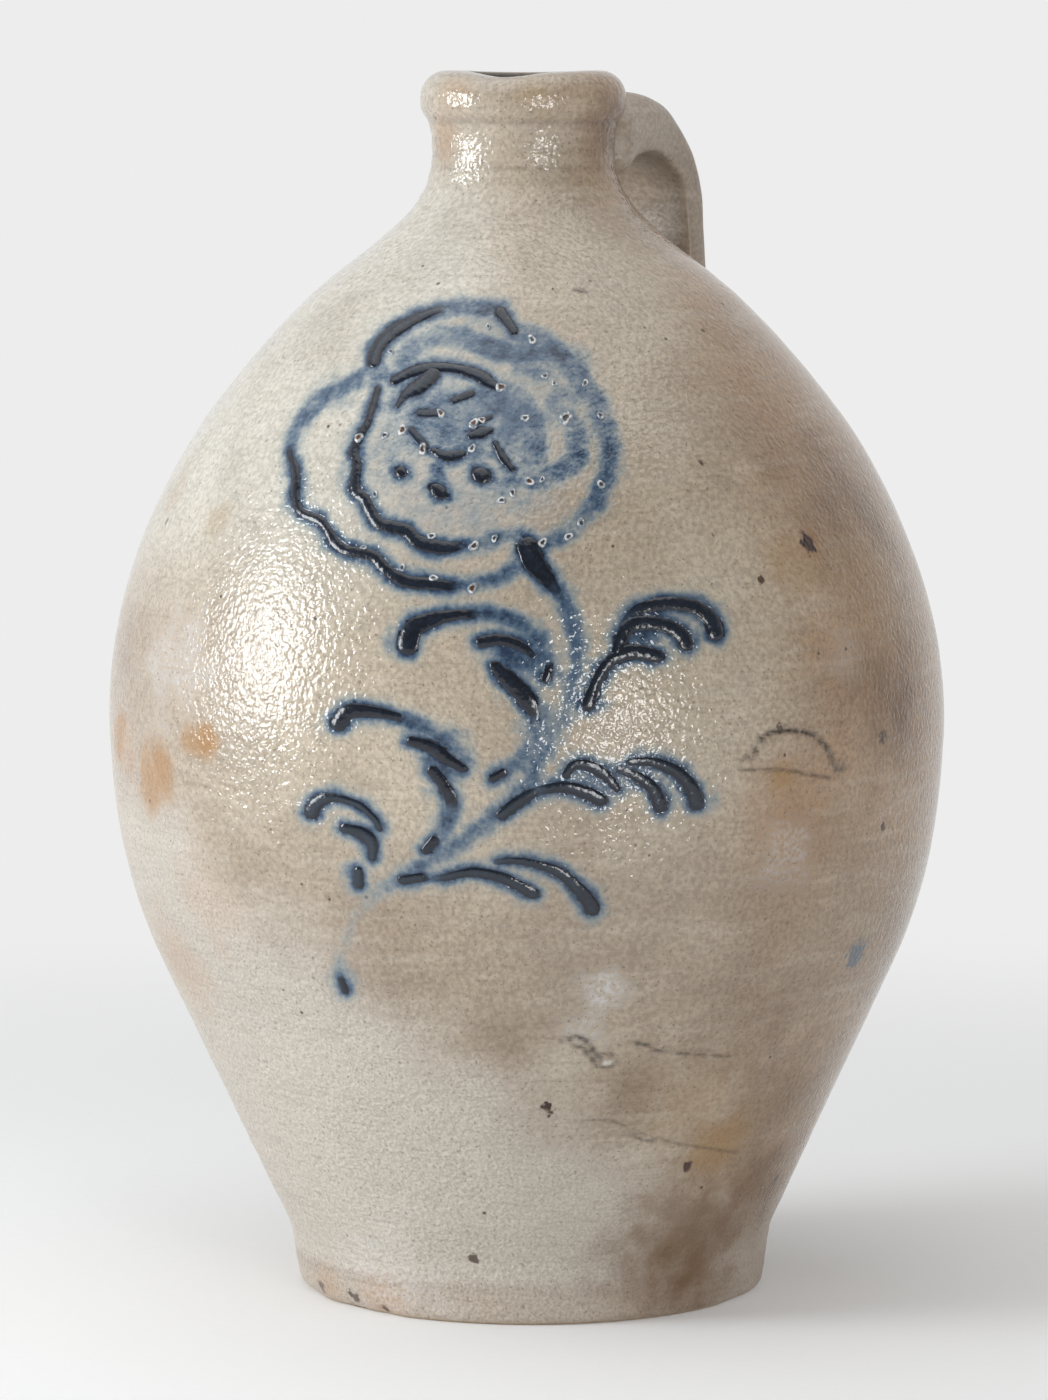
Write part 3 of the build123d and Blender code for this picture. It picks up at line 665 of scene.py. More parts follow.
def strap_places(turn, share):
    """Places on the strap, by the turn round its section and the share of its length."""
    line = rounded_line(
        (STRAP_START, STRAP_TOP), [((STRAP_REACH, STRAP_TOP), STRAP_BEND)], (STRAP_REACH, STRAP_END)
    )
    run = run_of(line)
    straight = (STRAP_REACH - STRAP_BEND - STRAP_START) / run[-1]
    bend = math.pi / 2 * STRAP_BEND / run[-1]
    at = share * run[-1]
    y, z = places_on(line, run, at).T
    ahead = places_on(line, run, at + 1) - places_on(line, run, at - 1)
    ahead_y, ahead_z = ahead.T / np.hypot(*ahead.T)
    width = keyed(
        [(0, 30), (0.06, 39), (0.1, 41.5), (straight, 39), (straight + 0.4 * bend, 34),
         (straight + bend, 33.5), (0.88, 36), (0.94, 36), (1, 29)],
        share,
    )
    thick = keyed(
        [(0, 31), (straight, 20), (straight + 0.4 * bend, 16.5), (straight + 0.75 * bend, 13), (1, 13)], share
    )
    pressed = smooth(11, 1, y - wall_radius(z - 0.5 * thick))
    side, depth = strap_section(turn, width, thick, pressed)
    depth = depth - thick / 2
    spread = np.stack([side, at, depth], 1)
    lump = 0.6 * rough(spread, 16) + 0.2 * rough(spread, 5)
    ridge = 0.25 * np.sin(side * 0.55 + 0.8 * np.sin(at / 30)) * (np.sin(turn) > 0)
    depth = depth + lump + ridge
    side = side * (1 + 0.02 * np.sin(at / 13.0)) + 0.5 * np.sin(at / 21.0)
    row = np.stack([side, y - ahead_z * depth, z + ahead_y * depth], 1)

    low_end = share > 0.5
    reach = np.hypot(row[:, 0], row[:, 1])
    gap = (reach - wall_radius(row[:, 2])) * 0.75
    flare = np.exp(-((np.maximum(gap, 0) / 4.5) ** 2)) * smooth(0.02, 0.1, share)
    row[:, 0] *= 1 + 0.16 * flare
    row[:, 2] += np.where(low_end, 1.0, -1.2) * flare
    sunk = wall_radius(row[:, 2]) - 4
    pull = np.where(reach < sunk, sunk / np.maximum(reach, 1), 1)
    row[:, :2] *= np.where(low_end, pull, 1)[:, None]
    return row


def pull_handle():
    """Extrude a ring along the strap, then lay each ring across the strap's line."""
    rings, spokes = 66, 44
    handle = fresh(bpy.ops.mesh.primitive_circle_add, vertices=spokes, radius=1.0, fill_type="NOTHING")
    with edit_mode("EDGE"):
        bpy.ops.mesh.edge_face_add()
        bpy.ops.mesh.select_all(action="SELECT")
        for _ in range(rings - 1):
            bpy.ops.mesh.extrude_region_move(TRANSFORM_OT_translate={"value": (0, 0, 1)})
    straight_form = corners_of(handle)
    turn = np.arctan2(straight_form[:, 1], straight_form[:, 0])
    reshape(handle, to_jug(to_view(strap_places(turn, straight_form[:, 2] / (rings - 1)) * MM)))
    take(handle)
    with edit_mode("FACE"):
        bpy.ops.mesh.normals_make_consistent(inside=False)
    apply_modifier(handle, "SUBSURF", levels=1, render_levels=1)
    bpy.ops.object.shade_smooth()
    return name_piece(handle, "pulled_strap")


# The slip: beads stand where the load is enough, up to a top, with their edges and backs sunk in the wall
BEAD_STEP, BEAD_ROWS = 0.55, 9
SLIP_HEIGHT, BEAD_LOAD, BEAD_TOP, BEAD_EDGE, BEAD_BACK = 0.75, 0.42, 1.1, -0.14, 0.5
LEAST_SLATE = 0.1
SMOOTH_ANGLE = math.radians(60)


def lay_bead(trail, first, last, slate):
    """One raised bead of slip along part of a trail, from a flat grid laid on the wall."""
    run, ends = trail.run, (first == 0, last == len(trail.run) - 1)
    start = run[first] - ends[0] * trail.half[first]
    stop = run[last] + ends[1] * trail.half[last]
    length = stop - start
    steps = max(10, int(length / BEAD_STEP))
    bead = fresh(bpy.ops.mesh.primitive_grid_add, x_subdivisions=steps, y_subdivisions=BEAD_ROWS, size=2)
    flat = corners_of(bead)
    share = (flat[:, 0] + 1) / 2
    share = share - 0.12 * np.sin(2 * math.pi * share)
    side = np.sin(0.5 * math.pi * flat[:, 1])
    at = start + share * length
    half = np.interp(at, run, trail.half)
    load = np.interp(at, run, trail.load)
    along = places_on(np.gradient(trail.line, axis=0), run, at)
    along /= np.linalg.norm(along, axis=1)[:, None]
    middle = places_on(trail.line, run, at)
    middle += along * (at - np.clip(at, run[first], run[last]))[:, None]
    cap = np.ones(len(at))
    for end, gap in ((ends[0], at - start), (ends[1], stop - at)):
        left = np.clip(1 - gap / np.maximum(half * (1.0 if end else 0.6), 0.2), 0, 1)
        cap *= np.sqrt(np.maximum(1 - left**2, 0))
    ripple = 1 + 0.1 * np.array([noise.noise(Vector((s * 0.45, v, length))) for s, v in zip(at, side > 0)])
    points = middle + np.stack([-along[:, 1], along[:, 0]], 1) * (side * half * cap * ripple)[:, None]
    dome = np.maximum(1 - side**2, 0) ** 0.75 * cap
    height = SLIP_HEIGHT * smooth(0.3, 0.95, load) * (0.3 + 0.24 * half) * dome
    height = np.where(dome < 0.02, BEAD_EDGE, np.maximum(height, 0.03))
    reshape(bead, front_place(points, np.minimum(height, BEAD_TOP)))
    note(bead, "slip_wash", slip_fields(points)[0])
    note(bead, "slip_load", load * (1 - 0.7 * smooth(0.45, 1.0, 1 - dome)))
    note(bead, "slip_slate", slate * smooth(0.6, 1.0, dome))
    return bead


def lay_trails(node):
    """Beads along the stretches of a node's strokes that carry enough slip to stand up."""
    slate = SLATE_MIDDLES.get(node, LEAST_SLATE)
    beads = []
    for trail in TRAILS[node]:
        thick = np.concatenate([[False], trail.load > BEAD_LOAD, [False]])
        edges = np.flatnonzero(np.diff(thick.astype(int)))
        beads += [lay_bead(trail, a, b - 1, slate) for a, b in zip(edges[::2], edges[1::2]) if b - a > 2]
    slip = join_pieces(beads, "slip_" + node)
    with edit_mode("FACE"):
        bpy.ops.mesh.remove_doubles(threshold=1e-6)
    return close_sheet(slip, BEAD_BACK)


def close_sheet(sheet, depth):
    """Close an open sheet with a back that lies in the wall, and smooth it."""
    apply_modifier(sheet, "SOLIDIFY", thickness=depth * MM, offset=-1)
    bpy.ops.object.shade_smooth_by_angle(angle=SMOOTH_ANGLE)
    return sheet


# Popped bubbles in the glaze: across, height, size and how brown the middle is
GLAZE_POPS = [
    (2, 276.5, 0.9, 0.1), (5.5, 267, 0.7, 0.1), (-6.5, 264, 1.0, 0.9), (0, 256, 0.8, 0.1), (11, 256, 1.3, 0.2),
    (20.5, 256.5, 0.7, 0.2), (-14, 254.5, 1.0, 0.9), (-11.8, 255.4, 0.7, 0.8), (-23, 257, 0.8, 0.9),
    (-33.5, 252.5, 1.0, 0.9), (-28, 247.5, 1.0, 0.8), (-38.5, 251, 0.8, 0.1), (-45.5, 250, 0.9, 0.9),
    (-14.5, 248, 0.8, 0.1), (1, 239.5, 0.9, 0.7), (-3.5, 236.5, 0.8, 0.3), (-6.5, 234.5, 0.8, 0.2),
    (4.5, 240, 0.6, 0.1), (20.5, 238.5, 0.8, 0.2), (15, 228.5, 0.9, 0.1), (11.5, 225, 0.8, 0.2),
    (4.5, 223.5, 0.9, 0.3), (-14, 222.5, 1.0, 0.4), (-8.5, 224.5, 0.7, 0.2), (-14.5, 211.5, 1.0, 0.9),
    (-25, 214, 0.8, 0.1), (-33.5, 216.5, 0.7, 0.1), (-44, 221.5, 0.6, 0.1), (-41, 235.5, 0.7, 0.1),
    (-25.5, 225, 0.8, 0.1), (-10, 280, 0.6, 0.1), (-37, 273, 0.6, 0.2), (8, 265, 0.6, 0.1), (16.5, 265, 0.7, 0.1),
]
# A crater's height by its radius, both as shares of the bubble's size
CRATER = [(0, -0.02), (0.4, 0.05), (0.6, 0.18), (0.75, 0.2), (0.9, 0.06), (1.0, -0.12)]
POP_SPREAD, POP_LIFT, POP_BACK = 1.4, 0.12, 0.35


def flat_crater():
    """A flat disc of rings, drawn inwards from a circle, that looks up."""
    crater = fresh(bpy.ops.mesh.primitive_circle_add, vertices=14, radius=1.0, fill_type="NOTHING")
    with edit_mode("EDGE"):
        for share in (0.86, 0.84, 0.8, 0.7):
            bpy.ops.mesh.extrude_edges_move()
            bpy.ops.transform.resize(value=(share, share, 1))
        bpy.ops.mesh.edge_face_add()
        bpy.ops.mesh.select_all(action="SELECT")
        bpy.ops.mesh.normals_make_consistent(inside=False)
    if crater.data.polygons[0].normal.z < 0:
        with edit_mode("FACE"):
            bpy.ops.mesh.flip_normals()
    return crater


def pop_bubbles():
    """Set a copy of one crater at each popped bubble."""
    crater = flat_crater()
    flat = corners_of(crater)
    ring, angle = np.hypot(flat[:, 0], flat[:, 1]), np.arctan2(flat[:, 1], flat[:, 0])
    lift = keyed(CRATER, ring)
    craters = []
    for across, z, size, brown in GLAZE_POPS:
        pop = crater.copy()
        pop.data = crater.data.copy()
        bpy.context.scene.collection.objects.link(pop)
        swing = 1 + (0.2 * np.cos(2 * angle + across) + 0.12 * np.cos(3 * angle + z)) * (ring > 0.3)
        points = np.array([across, z]) + flat[:, :2] * (size * POP_SPREAD * swing)[:, None]
        _, load = slip_fields(points)
        reshape(pop, front_place(points, lift * size + POP_LIFT + 0.5 * load))
        note(pop, "pop_ring", ring)
        note(pop, "pop_brown", np.full(len(ring), brown))
        craters.append(pop)
    bpy.data.objects.remove(crater)
    return close_sheet(join_pieces(craters, "glaze_pops"), POP_BACK)


# Finishes

def tint(red, green, blue):
    """A colour as seen on a screen, 0 to 255, for a shader."""
    return (*[((c / 255 + 0.055) / 1.055) ** 2.4 if c > 10 else c / 255 / 12.92 for c in (red, green, blue)], 1.0)


class Nodes:
    """A node tree, with short ways to add and join nodes."""

    def __init__(self, tree):
        self.tree = tree

    def feed(self, socket, value):
        if isinstance(value, bpy.types.NodeSocket):
            self.tree.links.new(value, socket)
        else:
            socket.default_value = value

    def add(self, kind, output, feeds=(), **settings):
        """A new node's output, with its inputs fed by name or number."""
        made = self.tree.nodes.new(kind)
        for key, value in settings.items():
            setattr(made, key, value)
        for key, value in dict(feeds).items():
            self.feed(made.inputs[key], value)
        return made.outputs[output]

    def maths(self, operation, a, b=0.0, clamp=False):
        return self.add("ShaderNodeMath", 0, {0: a, 1: b}, operation=operation, use_clamp=clamp)

    def times(self, a, b):
        return self.maths("MULTIPLY", a, b)

    def plus(self, a, b):
        return self.maths("ADD", a, b)

    def vector(self, operation, a, b):
        output = "Value" if operation in ("DISTANCE", "DOT_PRODUCT") else "Vector"
        return self.add("ShaderNodeVectorMath", output, {0: a, 1: b}, operation=operation)

    def span(self, value, low, high, start=0.0, end=1.0, kind="SMOOTHSTEP"):
        """A value's share of the way from low to high, as a number from start to end."""
        feeds = {"Value": value, "From Min": low, "From Max": high, "To Min": start, "To Max": end}
        return self.add("ShaderNodeMapRange", 0, feeds, interpolation_type=kind)

    def blend(self, share, under, over, kind="MIX"):
        return self.add("ShaderNodeMix", 2, {0: share, 6: under, 7: over}, data_type="RGBA", blend_type=kind)

    def seen_directly(self):
        """One for rays that show the backdrop itself: from the camera, in gloss or through glass."""
        path = self.tree.nodes.new("ShaderNodeLightPath")
        shown = path.outputs["Is Camera Ray"]
        for name in ("Is Glossy Ray", "Is Transmission Ray"):
            shown = self.maths("MAXIMUM", shown, path.outputs[name])
        return shown

    def show_mix(self, output, share, under, over):
        """Send a mix of two shaders to the tree's output."""
        mix = self.add("ShaderNodeMixShader", 0, {0: share, 1: under, 2: over})
        self.feed(self.tree.nodes[output].inputs["Surface"], mix)


class Finish(Nodes):
    """One material, laid coat over coat."""

    def __init__(self, name):
        self.material = bpy.data.materials.new(name)
        self.material.use_nodes = True
        super().__init__(self.material.node_tree)
        self.skin = self.tree.nodes["Principled BSDF"]
        self.place = self.add("ShaderNodeTexCoord", "Object")
        self.colour = None

    def grain(self, size, detail=2.0, stretch=None):
        """Noise whose lumps are about so many millimetres."""
        place = self.place
        if stretch:
            place = self.add("ShaderNodeMapping", "Vector", {"Vector": place, "Scale": stretch})
        return self.add("ShaderNodeTexNoise", "Fac", {"Vector": place, "Scale": 1 / (size * MM), "Detail": detail})

    def swing(self, value, most):
        """A noise as a swing either way of nought."""
        return self.times(self.maths("SUBTRACT", value, 0.5), most)

    def cells(self, size):
        return self.add("ShaderNodeTexVoronoi", "Distance", {"Vector": self.place, "Scale": 1 / (size * MM)})

    def kept(self, name):
        return self.add("ShaderNodeAttribute", "Fac", attribute_name=name)

    def coat(self, share, colour, strength=None):
        """Lay a screen colour over what is there."""
        if strength is not None:
            share = self.times(share, strength)
        self.colour = self.blend(share, self.colour, tint(*colour))


# Spots on the decorated side: across, height, size, strength
# Kiln scorches; the one at the collar's right, (25, 334), is partly painted shade on the neck's side away from the
# lamps
SCORCHES_AND_SHADE = [
    (89, 228, 46, 0.85), (101, 180, 40, 0.95), (97, 205, 34, 0.7), (44, 22, 40, 0.95), (62, 34, 36, 0.8),
    (56, 28, 26, 1.0), (68, 62, 40, 0.58), (58, 86, 36, 0.6), (30, 76, 26, 0.52), (-5.5, 83, 18, 0.45),
    (25, 334, 20, 1.0), (75, 150, 30, 0.35), (60, 262, 40, 0.25), (-113, 190, 26, 0.35),
]
BLUSHES = [
    (69, 158, 8, 0.5), (68, 163, 6, 0.4), (80, 150, 3.5, 0.6), (-113, 159, 13, 0.6),
    (-105, 154, 14, 0.6), (-99, 99, 26, 0.4), (-88, 121, 24, 0.25), (-22, 331, 11, 0.5),
    (-42, 4, 14, 0.55), (-58, 5, 10, 0.4), (72, 150, 24, 0.35), (12, 343, 12, 0.3), (-20, 345, 11, 0.4),
]
FLASHES = [
    (-92.5, 166, 8, 0.8), (-89, 166.8, 8, 1.0), (-105.5, 152.5, 12, 0.7), (-102, 157, 11, 0.8), (-116, 163, 11, 1.0),
]
OCHRES = [
    (52, 52, 16, 0.6), (69, 158, 8, 0.5), (45, 66, 22, 0.3), (74, 216, 16, 0.35), (95, 205, 26, 0.3),
    (-99, 232, 12, 0.3), (-86, 226, 8, 0.3), (2, 344, 9, 0.35),
]
# The last spot, on the left of the belly, is a painted reflection; the others are hazy white glaze
HAZES_AND_REFLECTION = [
    (20, 100, 11, 0.75), (15.5, 90, 9, 0.5), (71, 137, 14, 0.35), (-40, 12, 26, 0.45), (88, 190, 12, 0.2),
    (-98, 186, 24, 0.5),
]
IRON_SPOTS = [
    (-60, 3.4, 2.2, 0.7), (-51, 3, 2.6, 0.8), (-42, 1.6, 2.0, 0.8), (78, 221, 3.4, 1.0), (64, 212, 1.5, 0.9),
    (98.5, 166.5, 2.2, 0.9), (69, 172, 1.6, 0.8), (99, 141, 1.3, 0.8), (5, 66, 2.0, 1.0),
    (-16.5, 19.5, 2.2, 0.85), (44, 46.5, 1.8, 0.95), (69.5, 35, 2.0, 0.7), (48.5, 243.5, 1.4, 0.9),
    (49.5, 278, 1.0, 0.8), (-101.5, 224, 1.2, 0.7), (-70.5, 144, 0.8, 0.6), (18, 291.5, 0.9, 0.7),
]
# Spots up to this size have a finely frayed edge, larger ones a ragged edge
FRAYED_SIZE = 5.7
GLAZE_ROUGHNESS, DRY_ROUGHNESS = 0.075, 0.42
GLAZE_SPECULAR, PEEL_HEIGHT = 0.6, 0.43


class Stoneware(Finish):
    """Salt-glazed stoneware, with the blue slip, scorches and marks that the wall carries, and some painted light
    and shade.
    """

    def __init__(self, name, warm, shade, marks):
        super().__init__(name)
        self.marks = marks
        self.ragged, self.frayed = self.grain(9, 4), self.grain(2.4, 2)
        self.broad, self.cloud, self.mottle = self.grain(70, 3), self.grain(24, 4), self.grain(1.45, 2)
        self.height = self.add("ShaderNodeSeparateXYZ", "Z", {0: self.place})
        self.colour = self.blend(self.span(self.broad, 0.35, 0.65), tint(*warm), tint(*shade))
        self.flash_and_shade_clay()
        self.weather_foot()
        if marks:
            self.stain_wall()
        self.pepper_clay()
        if marks:
            self.mark_wall()
            self.trail_slip()
        self.raise_peel()
        self.feed(self.skin.inputs["Base Color"], self.colour)
        self.feed(self.skin.inputs["Roughness"], self.roughness)
        self.skin.inputs["Specular IOR Level"].default_value = GLAZE_SPECULAR

    def near(self, across, z, size, soft, ragged):
        """Where the surface lies within a spot of the decorated side, sizes in millimetres."""
        towards = math.sqrt(max(float(wall_radius(z)) ** 2 - across**2, 1))
        gap = self.vector("DISTANCE", self.place, tuple(to_jug(np.array([[across, towards, z]]))[0]))
        edge = self.ragged if size > FRAYED_SIZE else self.frayed
        gap = self.plus(gap, self.swing(edge, ragged * size * MM))
        return self.span(gap, size * MM * (1 - soft), size * MM, 1.0, 0.0)

    def spots(self, places, soft, ragged):
        """The strongest of several spots."""
        whole = None
        for across, z, size, strength in places:
            spot = self.times(self.near(across, z, size, soft, ragged), strength)
            whole = spot if whole is None else self.maths("MAXIMUM", whole, spot)
        return whole

    def flash_and_shade_clay(self):
        """Ashen pale glaze on the left of the shoulder, partly painted light; toasted clay on the right, partly kiln
        flashing and partly painted shade on the side away from the lamp; clouds and streaks.
        """
        z = self.height
        level = self.vector("NORMALIZE", self.vector("MULTIPLY", self.place, (1, 1, 0)), (0, 0, 0))
        # A gradient across the sides: partly kiln flashing, partly painted light on the left and painted shade on
        # the right
        facing = self.times(self.vector("DOT_PRODUCT", level, tuple(RIGHT)), 0.12)
        flashing_and_shade = self.plus(facing, self.swing(self.broad, 0.12))
        ash_and_light = self.times(self.span(flashing_and_shade, -0.005, -0.065), self.span(z, 0.19, 0.24))
        self.coat(self.times(ash_and_light, self.span(z, 0.31, 0.325, 0.72, 0.3)), (210, 207, 196))
        # Browner on the right: kiln flashing and painted shade
        if self.marks:
            self.coat(self.span(flashing_and_shade, 0.035, 0.115, 0.0, 0.7), (158, 118, 76))
        toast = self.times(self.span(flashing_and_shade, -0.07, -0.112), self.span(z, 0.225, 0.19))
        self.coat(toast, (170, 153, 136), 0.6)
        tide = self.plus(z, self.swing(self.grain(34, 3, (1, 1, 2.5)), 0.05))
        band = self.times(self.span(tide, 0.084, 0.098), self.span(tide, 0.15, 0.115))
        self.coat(band, (142, 122, 102), 0.45)
        self.coat(self.span(self.cloud, 0.4, 0.75, 0.0, 0.35), (150, 136, 120))
        self.coat(self.span(self.grain(30, 3, (1, 1, 9)), 0.45, 0.75, 0.0, 0.3), (199, 188, 172))

    def weather_foot(self):
        """The drier, paler zone above the foot, and the fine mottle of the whole skin."""
        shore = self.plus(self.height, self.swing(self.cloud, 0.06))
        shore = self.plus(shore, self.times(self.vector("DOT_PRODUCT", self.place, tuple(RIGHT)), 0.7))
        self.low = self.span(shore, 0.09, 0.05)
        self.coat(self.low, (206, 200, 190), 0.62)
        self.coat(self.span(self.height, 0.015, 0.009, 0.0, 0.3), (164, 138, 114))
        self.coat(self.span(self.grain(12, 2, (1, 1, 13)), 0.5, 0.75, 0.0, 0.22), (136, 120, 102))
        fine = self.blend(self.low, self.mottle, self.grain(0.8, 2))
        self.colour = self.blend(1.0, self.colour, self.span(fine, 0.3, 0.7, 1.13, 0.84), "MULTIPLY")
        gloss = GLAZE_ROUGHNESS if self.marks else DRY_ROUGHNESS
        self.roughness = self.span(self.low, 0, 1, gloss, DRY_ROUGHNESS)

    def stain_wall(self):
        """Scorches (partly painted shade on the collar's right), blushes, flashes, ochre, painted light on the
        neck's front, and hazy white glaze from the kiln with a painted reflection on the left of the belly.
        """
        # Scorches, with painted shade on the collar's right
        scorch = self.spots(SCORCHES_AND_SHADE, 0.95, 0.8)
        self.coat(self.times(scorch, self.span(self.cloud, 0.25, 0.7, 0.45, 1.0)), (108, 75, 40))
        self.coat(self.near(42, 26, 19, 0.7, 1.0), (106, 78, 42), 0.42)
        self.coat(self.spots(BLUSHES, 0.9, 1.0), (176, 130, 86), 0.72)
        self.coat(self.spots(FLASHES, 0.75, 1.6), (164, 120, 66), 0.8)
        self.coat(self.spots(OCHRES, 0.9, 1.0), (158, 122, 68))
        # Painted light: a paler patch on the neck's front, where glints and the reflector brighten it
        self.coat(self.near(-2, 328, 24, 0.8, 0.4), (222, 208, 190), 0.22)
        self.coat(self.near(-18, 248, 44, 0.7, 0.3), (196, 197, 198), 0.32)
        # Hazy white glaze, and a painted reflection on the left of the belly
        haze_and_reflection = self.spots(HAZES_AND_REFLECTION, 0.95, 2.0)
        self.coat(self.times(haze_and_reflection, self.span(self.mottle, 0.35, 0.65, 0.15, 1.0)), (216, 214, 212))
        self.roughness = self.plus(self.roughness, self.times(haze_and_reflection, 0.25))

    def pepper_clay(self):
        """Fine dark pepper and scattered brown flecks."""
        pepper = self.span(self.grain(0.9, 1), 0.62, 0.76, 0.0, 0.5)
        self.coat(self.times(pepper, self.span(self.low, 0, 1, 1.0, 0.95)), (88, 74, 60))
        flecks = self.times(self.span(self.cells(7.5), 0.1, 0.05), self.span(self.grain(11, 0), 0.6, 0.64))
        self.coat(flecks, (62, 44, 34), 0.85)

    def mark_wall(self):
        """Iron spots, the blue smudge, the kiln drip, scratches with the painted shade lines of the rings, painted
        shade in the bore, and the bare underside.
        """
        self.coat(self.near(78, 221, 6.5, 0.9, 1.0), (140, 88, 46), 0.45)
        self.coat(self.spots(IRON_SPOTS, 0.5, 2.6), (54, 27, 14))
        self.coat(self.near(91.5, 104.5, 5.6, 0.45, 1.6), (92, 106, 120), 0.85)
        self.coat(self.near(*KILN_DRIP, 2.1, 0.3, 0.6), (216, 212, 204), 0.9)
        broken = self.span(self.grain(2.2, 2), 0.3, 0.55, 0.35, 1.0)
        # Darkness of the marks, with the painted shade lines of the rings
        self.coat(self.times(self.kept("marks_and_ring_shade"), broken), (46, 36, 28))
        bore, bare = self.kept("bore_shade"), self.kept("bare_clay")
        # Painted shade in the bore, dark brown and matte
        self.coat(bore, (54, 42, 33), 0.9)
        self.coat(bare, (188, 166, 138))
        for share, roughness in ((bore, 0.7), (bare, 0.85)):
            self.roughness = self.maths("MAXIMUM", self.roughness, self.times(share, roughness))

    def trail_slip(self):
        """The blue: a pale bleed, a wash, a deep edge, and the thick slip with its slate middle."""
        wash = self.kept("slip_wash")
        bleed = self.plus(self.swing(self.grain(1.3, 2), 0.4), self.swing(self.grain(5, 3), 0.9))
        wet = self.maths("ADD", wash, self.times(bleed, self.span(wash, 0.02, 0.4)), clamp=True)
        self.coat(self.span(wet, 0.06, 0.5, 0.0, 0.72), (134, 148, 152))
        self.coat(self.span(wet, 0.34, 0.8, 0.0, 0.88), (62, 89, 116))
        self.coat(self.span(wet, 0.7, 1.0, 0.0, 0.85), (31, 46, 70))
        self.thick = self.plus(self.kept("slip_load"), self.times(bleed, 0.22))
        slip = self.blend(self.span(self.mottle, 0.4, 0.7), tint(13, 18, 29), tint(23, 31, 45))
        crawl = self.times(self.kept("slip_slate"), self.span(self.grain(5, 3), 0.3, 0.6, 0.5, 1.0))
        slip = self.blend(crawl, slip, tint(44, 57, 70))
        self.colour = self.blend(self.span(self.thick, 0.28, 0.68), self.colour, slip)
        self.roughness = self.maths("SUBTRACT", self.roughness, self.times(self.span(wet, 0.3, 0.9), 0.04))
        self.roughness = self.plus(self.roughness, self.span(self.thick, 0.3, 0.6, 0.0, 0.16))

    def raise_peel(self):
        """The orange peel of the glaze, leathery above the foot and weaker on thick slip."""
        peel = self.times(self.grain(1.55, 1), 1.0 if self.marks else 0.5)
        relief = self.plus(peel, self.times(self.grain(0.8, 1), 0.14))
        relief = self.plus(relief, self.times(self.cells(1.7), self.times(self.low, 0.5)))
        if self.marks:
            relief = self.times(relief, self.span(self.thick, 0.25, 0.6, 1.0, 0.4))
        feeds = {"Height": relief, "Strength": 1.0, "Distance": PEEL_HEIGHT * MM}
        self.feed(self.skin.inputs["Normal"], self.add("ShaderNodeBump", "Normal", feeds))


def popped_glaze_finish():
    """White rims round dark or brown pits."""
    finish = Finish("popped_glaze")
    ring, brown = finish.kept("pop_ring"), finish.kept("pop_brown")
    middle = finish.blend(brown, tint(160, 168, 174), tint(140, 98, 66))
    rim = finish.blend(finish.span(finish.grain(1.4, 2), 0.42, 0.58), tint(214, 214, 210), tint(126, 136, 144))
    finish.colour = finish.blend(finish.span(ring, 0.42, 0.58), middle, rim)
    pit = finish.blend(brown, tint(58, 66, 76), tint(82, 50, 32))
    finish.colour = finish.blend(finish.span(ring, 0.47, 0.41), finish.colour, pit)
    finish.coat(finish.span(ring, 0.8, 1.0), (120, 130, 142))
    finish.feed(finish.skin.inputs["Base Color"], finish.colour)
    finish.skin.inputs["Roughness"].default_value = 0.22
    return finish.material


# The studio
BACKDROP = tint(237, 237, 237)
AIR_STRENGTH, PAPER_GLOW = 0.3, 0.18
LENS, SENSOR = 153.64, 36
CAMERA_PLACE, CAMERA_TARGET = (0, 1.715, 0.35), (-0.001, 0, 0.1695)
# Lights: place, target, width, height, watts, colour
SOFT_BOXES = {
    "left_softbox": ((-1.17, 0.32, 0.44), (0, 0, 0.18), 0.5, 0.6, 11.9, (0.935, 0.97, 1)),
    "right_reflector": ((0.66, 1.6, 0.24), (0, 0, 0.2), 0.42, 0.58, 8.5, (1, 1, 1)),
    "overhead_softbox": ((-0.1, 0.1, 1.6), (0, 0, 0), 1.6, 1.6, 9, (1, 1, 1)),
}


def set_up(name, data, place, target):
    """Put a light or the camera at (across, towards the viewer, up), aimed at such a place."""
    place, target = [Vector(RIGHT * x + TOWARD * y) + Vector((0, 0, z)) for x, y, z in (place, target)]
    holder = bpy.data.objects.new(name, data)
    holder.location = place
    holder.rotation_euler = (target - place).to_track_quat("-Z", "Y").to_euler()
    bpy.context.scene.collection.objects.link(holder)
    return holder


def soft_box(name, place, target, width, height, watts, colour):
    lamp = bpy.data.lights.new(name, "AREA")
    lamp.shape = "RECTANGLE"
    lamp.size, lamp.size_y, lamp.energy, lamp.color = width, height, watts, colour
    set_up(name, lamp, place, target)


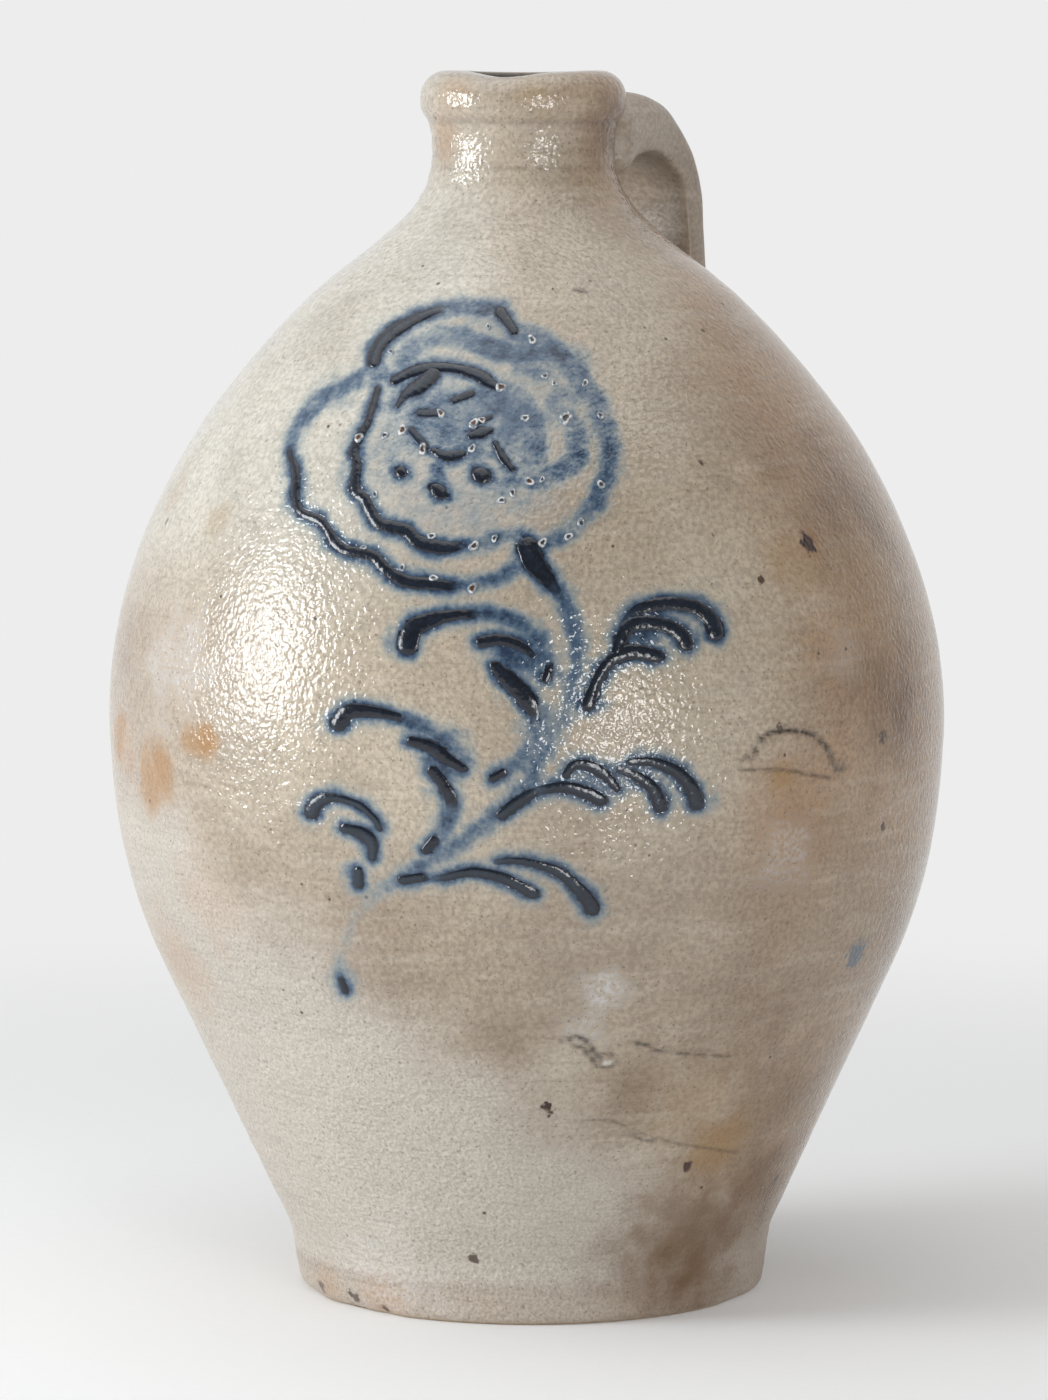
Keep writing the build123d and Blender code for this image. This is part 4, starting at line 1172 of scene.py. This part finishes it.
def pale_floor():
    """Paper that takes the jug's shadow near by and fades into the backdrop further off."""
    floor = name_piece(fresh(bpy.ops.mesh.primitive_plane_add, size=60, location=(0, 0, 0)), "pale_floor")
    finish = Finish("pale_paper")
    skin = finish.skin.inputs
    finish.feed(skin["Base Color"], finish.blend(finish.grain(3, 2), tint(238, 238, 238), tint(234, 234, 234)))
    skin["Roughness"].default_value = 0.9
    skin["Specular IOR Level"].default_value = 0.1
    skin["Emission Color"].default_value = BACKDROP
    shown = finish.seen_directly()
    finish.feed(skin["Emission Strength"], finish.times(shown, PAPER_GLOW))
    far = finish.span(finish.vector("DISTANCE", finish.place, (0, 0, 0)), 0.24, 0.75)
    glow = finish.add("ShaderNodeEmission", 0, {"Color": BACKDROP})
    finish.show_mix("Material Output", finish.times(far, shown), finish.skin.outputs[0], glow)
    floor.data.materials.append(finish.material)


def pale_room():
    """Pale behind the jug, dimmer on the viewer's side where the gloss looks back into the room."""
    world = bpy.data.worlds.new("pale_room")
    bpy.context.scene.world = world
    world.use_nodes = True
    room = Nodes(world.node_tree)
    air = room.tree.nodes["Background"]
    air.inputs["Color"].default_value = (1, 1, 1, 1)
    air.inputs["Strength"].default_value = AIR_STRENGTH
    look = room.vector("DOT_PRODUCT", room.add("ShaderNodeTexCoord", "Generated"), tuple(TOWARD))
    dim = room.span(look, -0.35, 0.35, 1.0, 0.2, "LINEAR")
    glossy = room.add("ShaderNodeLightPath", "Is Glossy Ray")
    strength = room.add("ShaderNodeMix", 0, {0: glossy, 2: 1.0, 3: dim})
    wall = room.add("ShaderNodeBackground", 0, {"Color": BACKDROP, "Strength": strength})
    room.show_mix("World Output", room.seen_directly(), air.outputs[0], wall)


def photo_camera():
    lens = bpy.data.cameras.new("photo_camera")
    lens.sensor_width, lens.lens = SENSOR, LENS
    bpy.context.scene.camera = set_up("photo_camera", lens, CAMERA_PLACE, CAMERA_TARGET)


BODY_COLOURS = (190, 177, 158), (174, 159, 140)
# Partly the handle's own greyer glaze, partly painted shade: darker than the body
HANDLE_GLAZE_AND_SHADE_COLOURS = (172, 158, 143), (154, 138, 122)
salt_glaze = Stoneware("salt_glaze", *BODY_COLOURS, marks=True).material
cobalt_slip = Stoneware("cobalt_slip", *BODY_COLOURS, marks=True).material
handle_glaze = Stoneware("handle_glaze", *HANDLE_GLAZE_AND_SHADE_COLOURS, marks=False).material

seat_piece(throw_body(), "jug_body", salt_glaze)
seat_piece(pull_handle(), "strap_handle", handle_glaze)
for slip_node in TRAILS:
    seat_piece(lay_trails(slip_node), slip_node, cobalt_slip)
seat_piece(pop_bubbles(), None, popped_glaze_finish())

pale_floor()
pale_room()
for light, settings in SOFT_BOXES.items():
    soft_box(light, *settings)
photo_camera()
bpy.context.scene.view_settings.view_transform = "Standard"
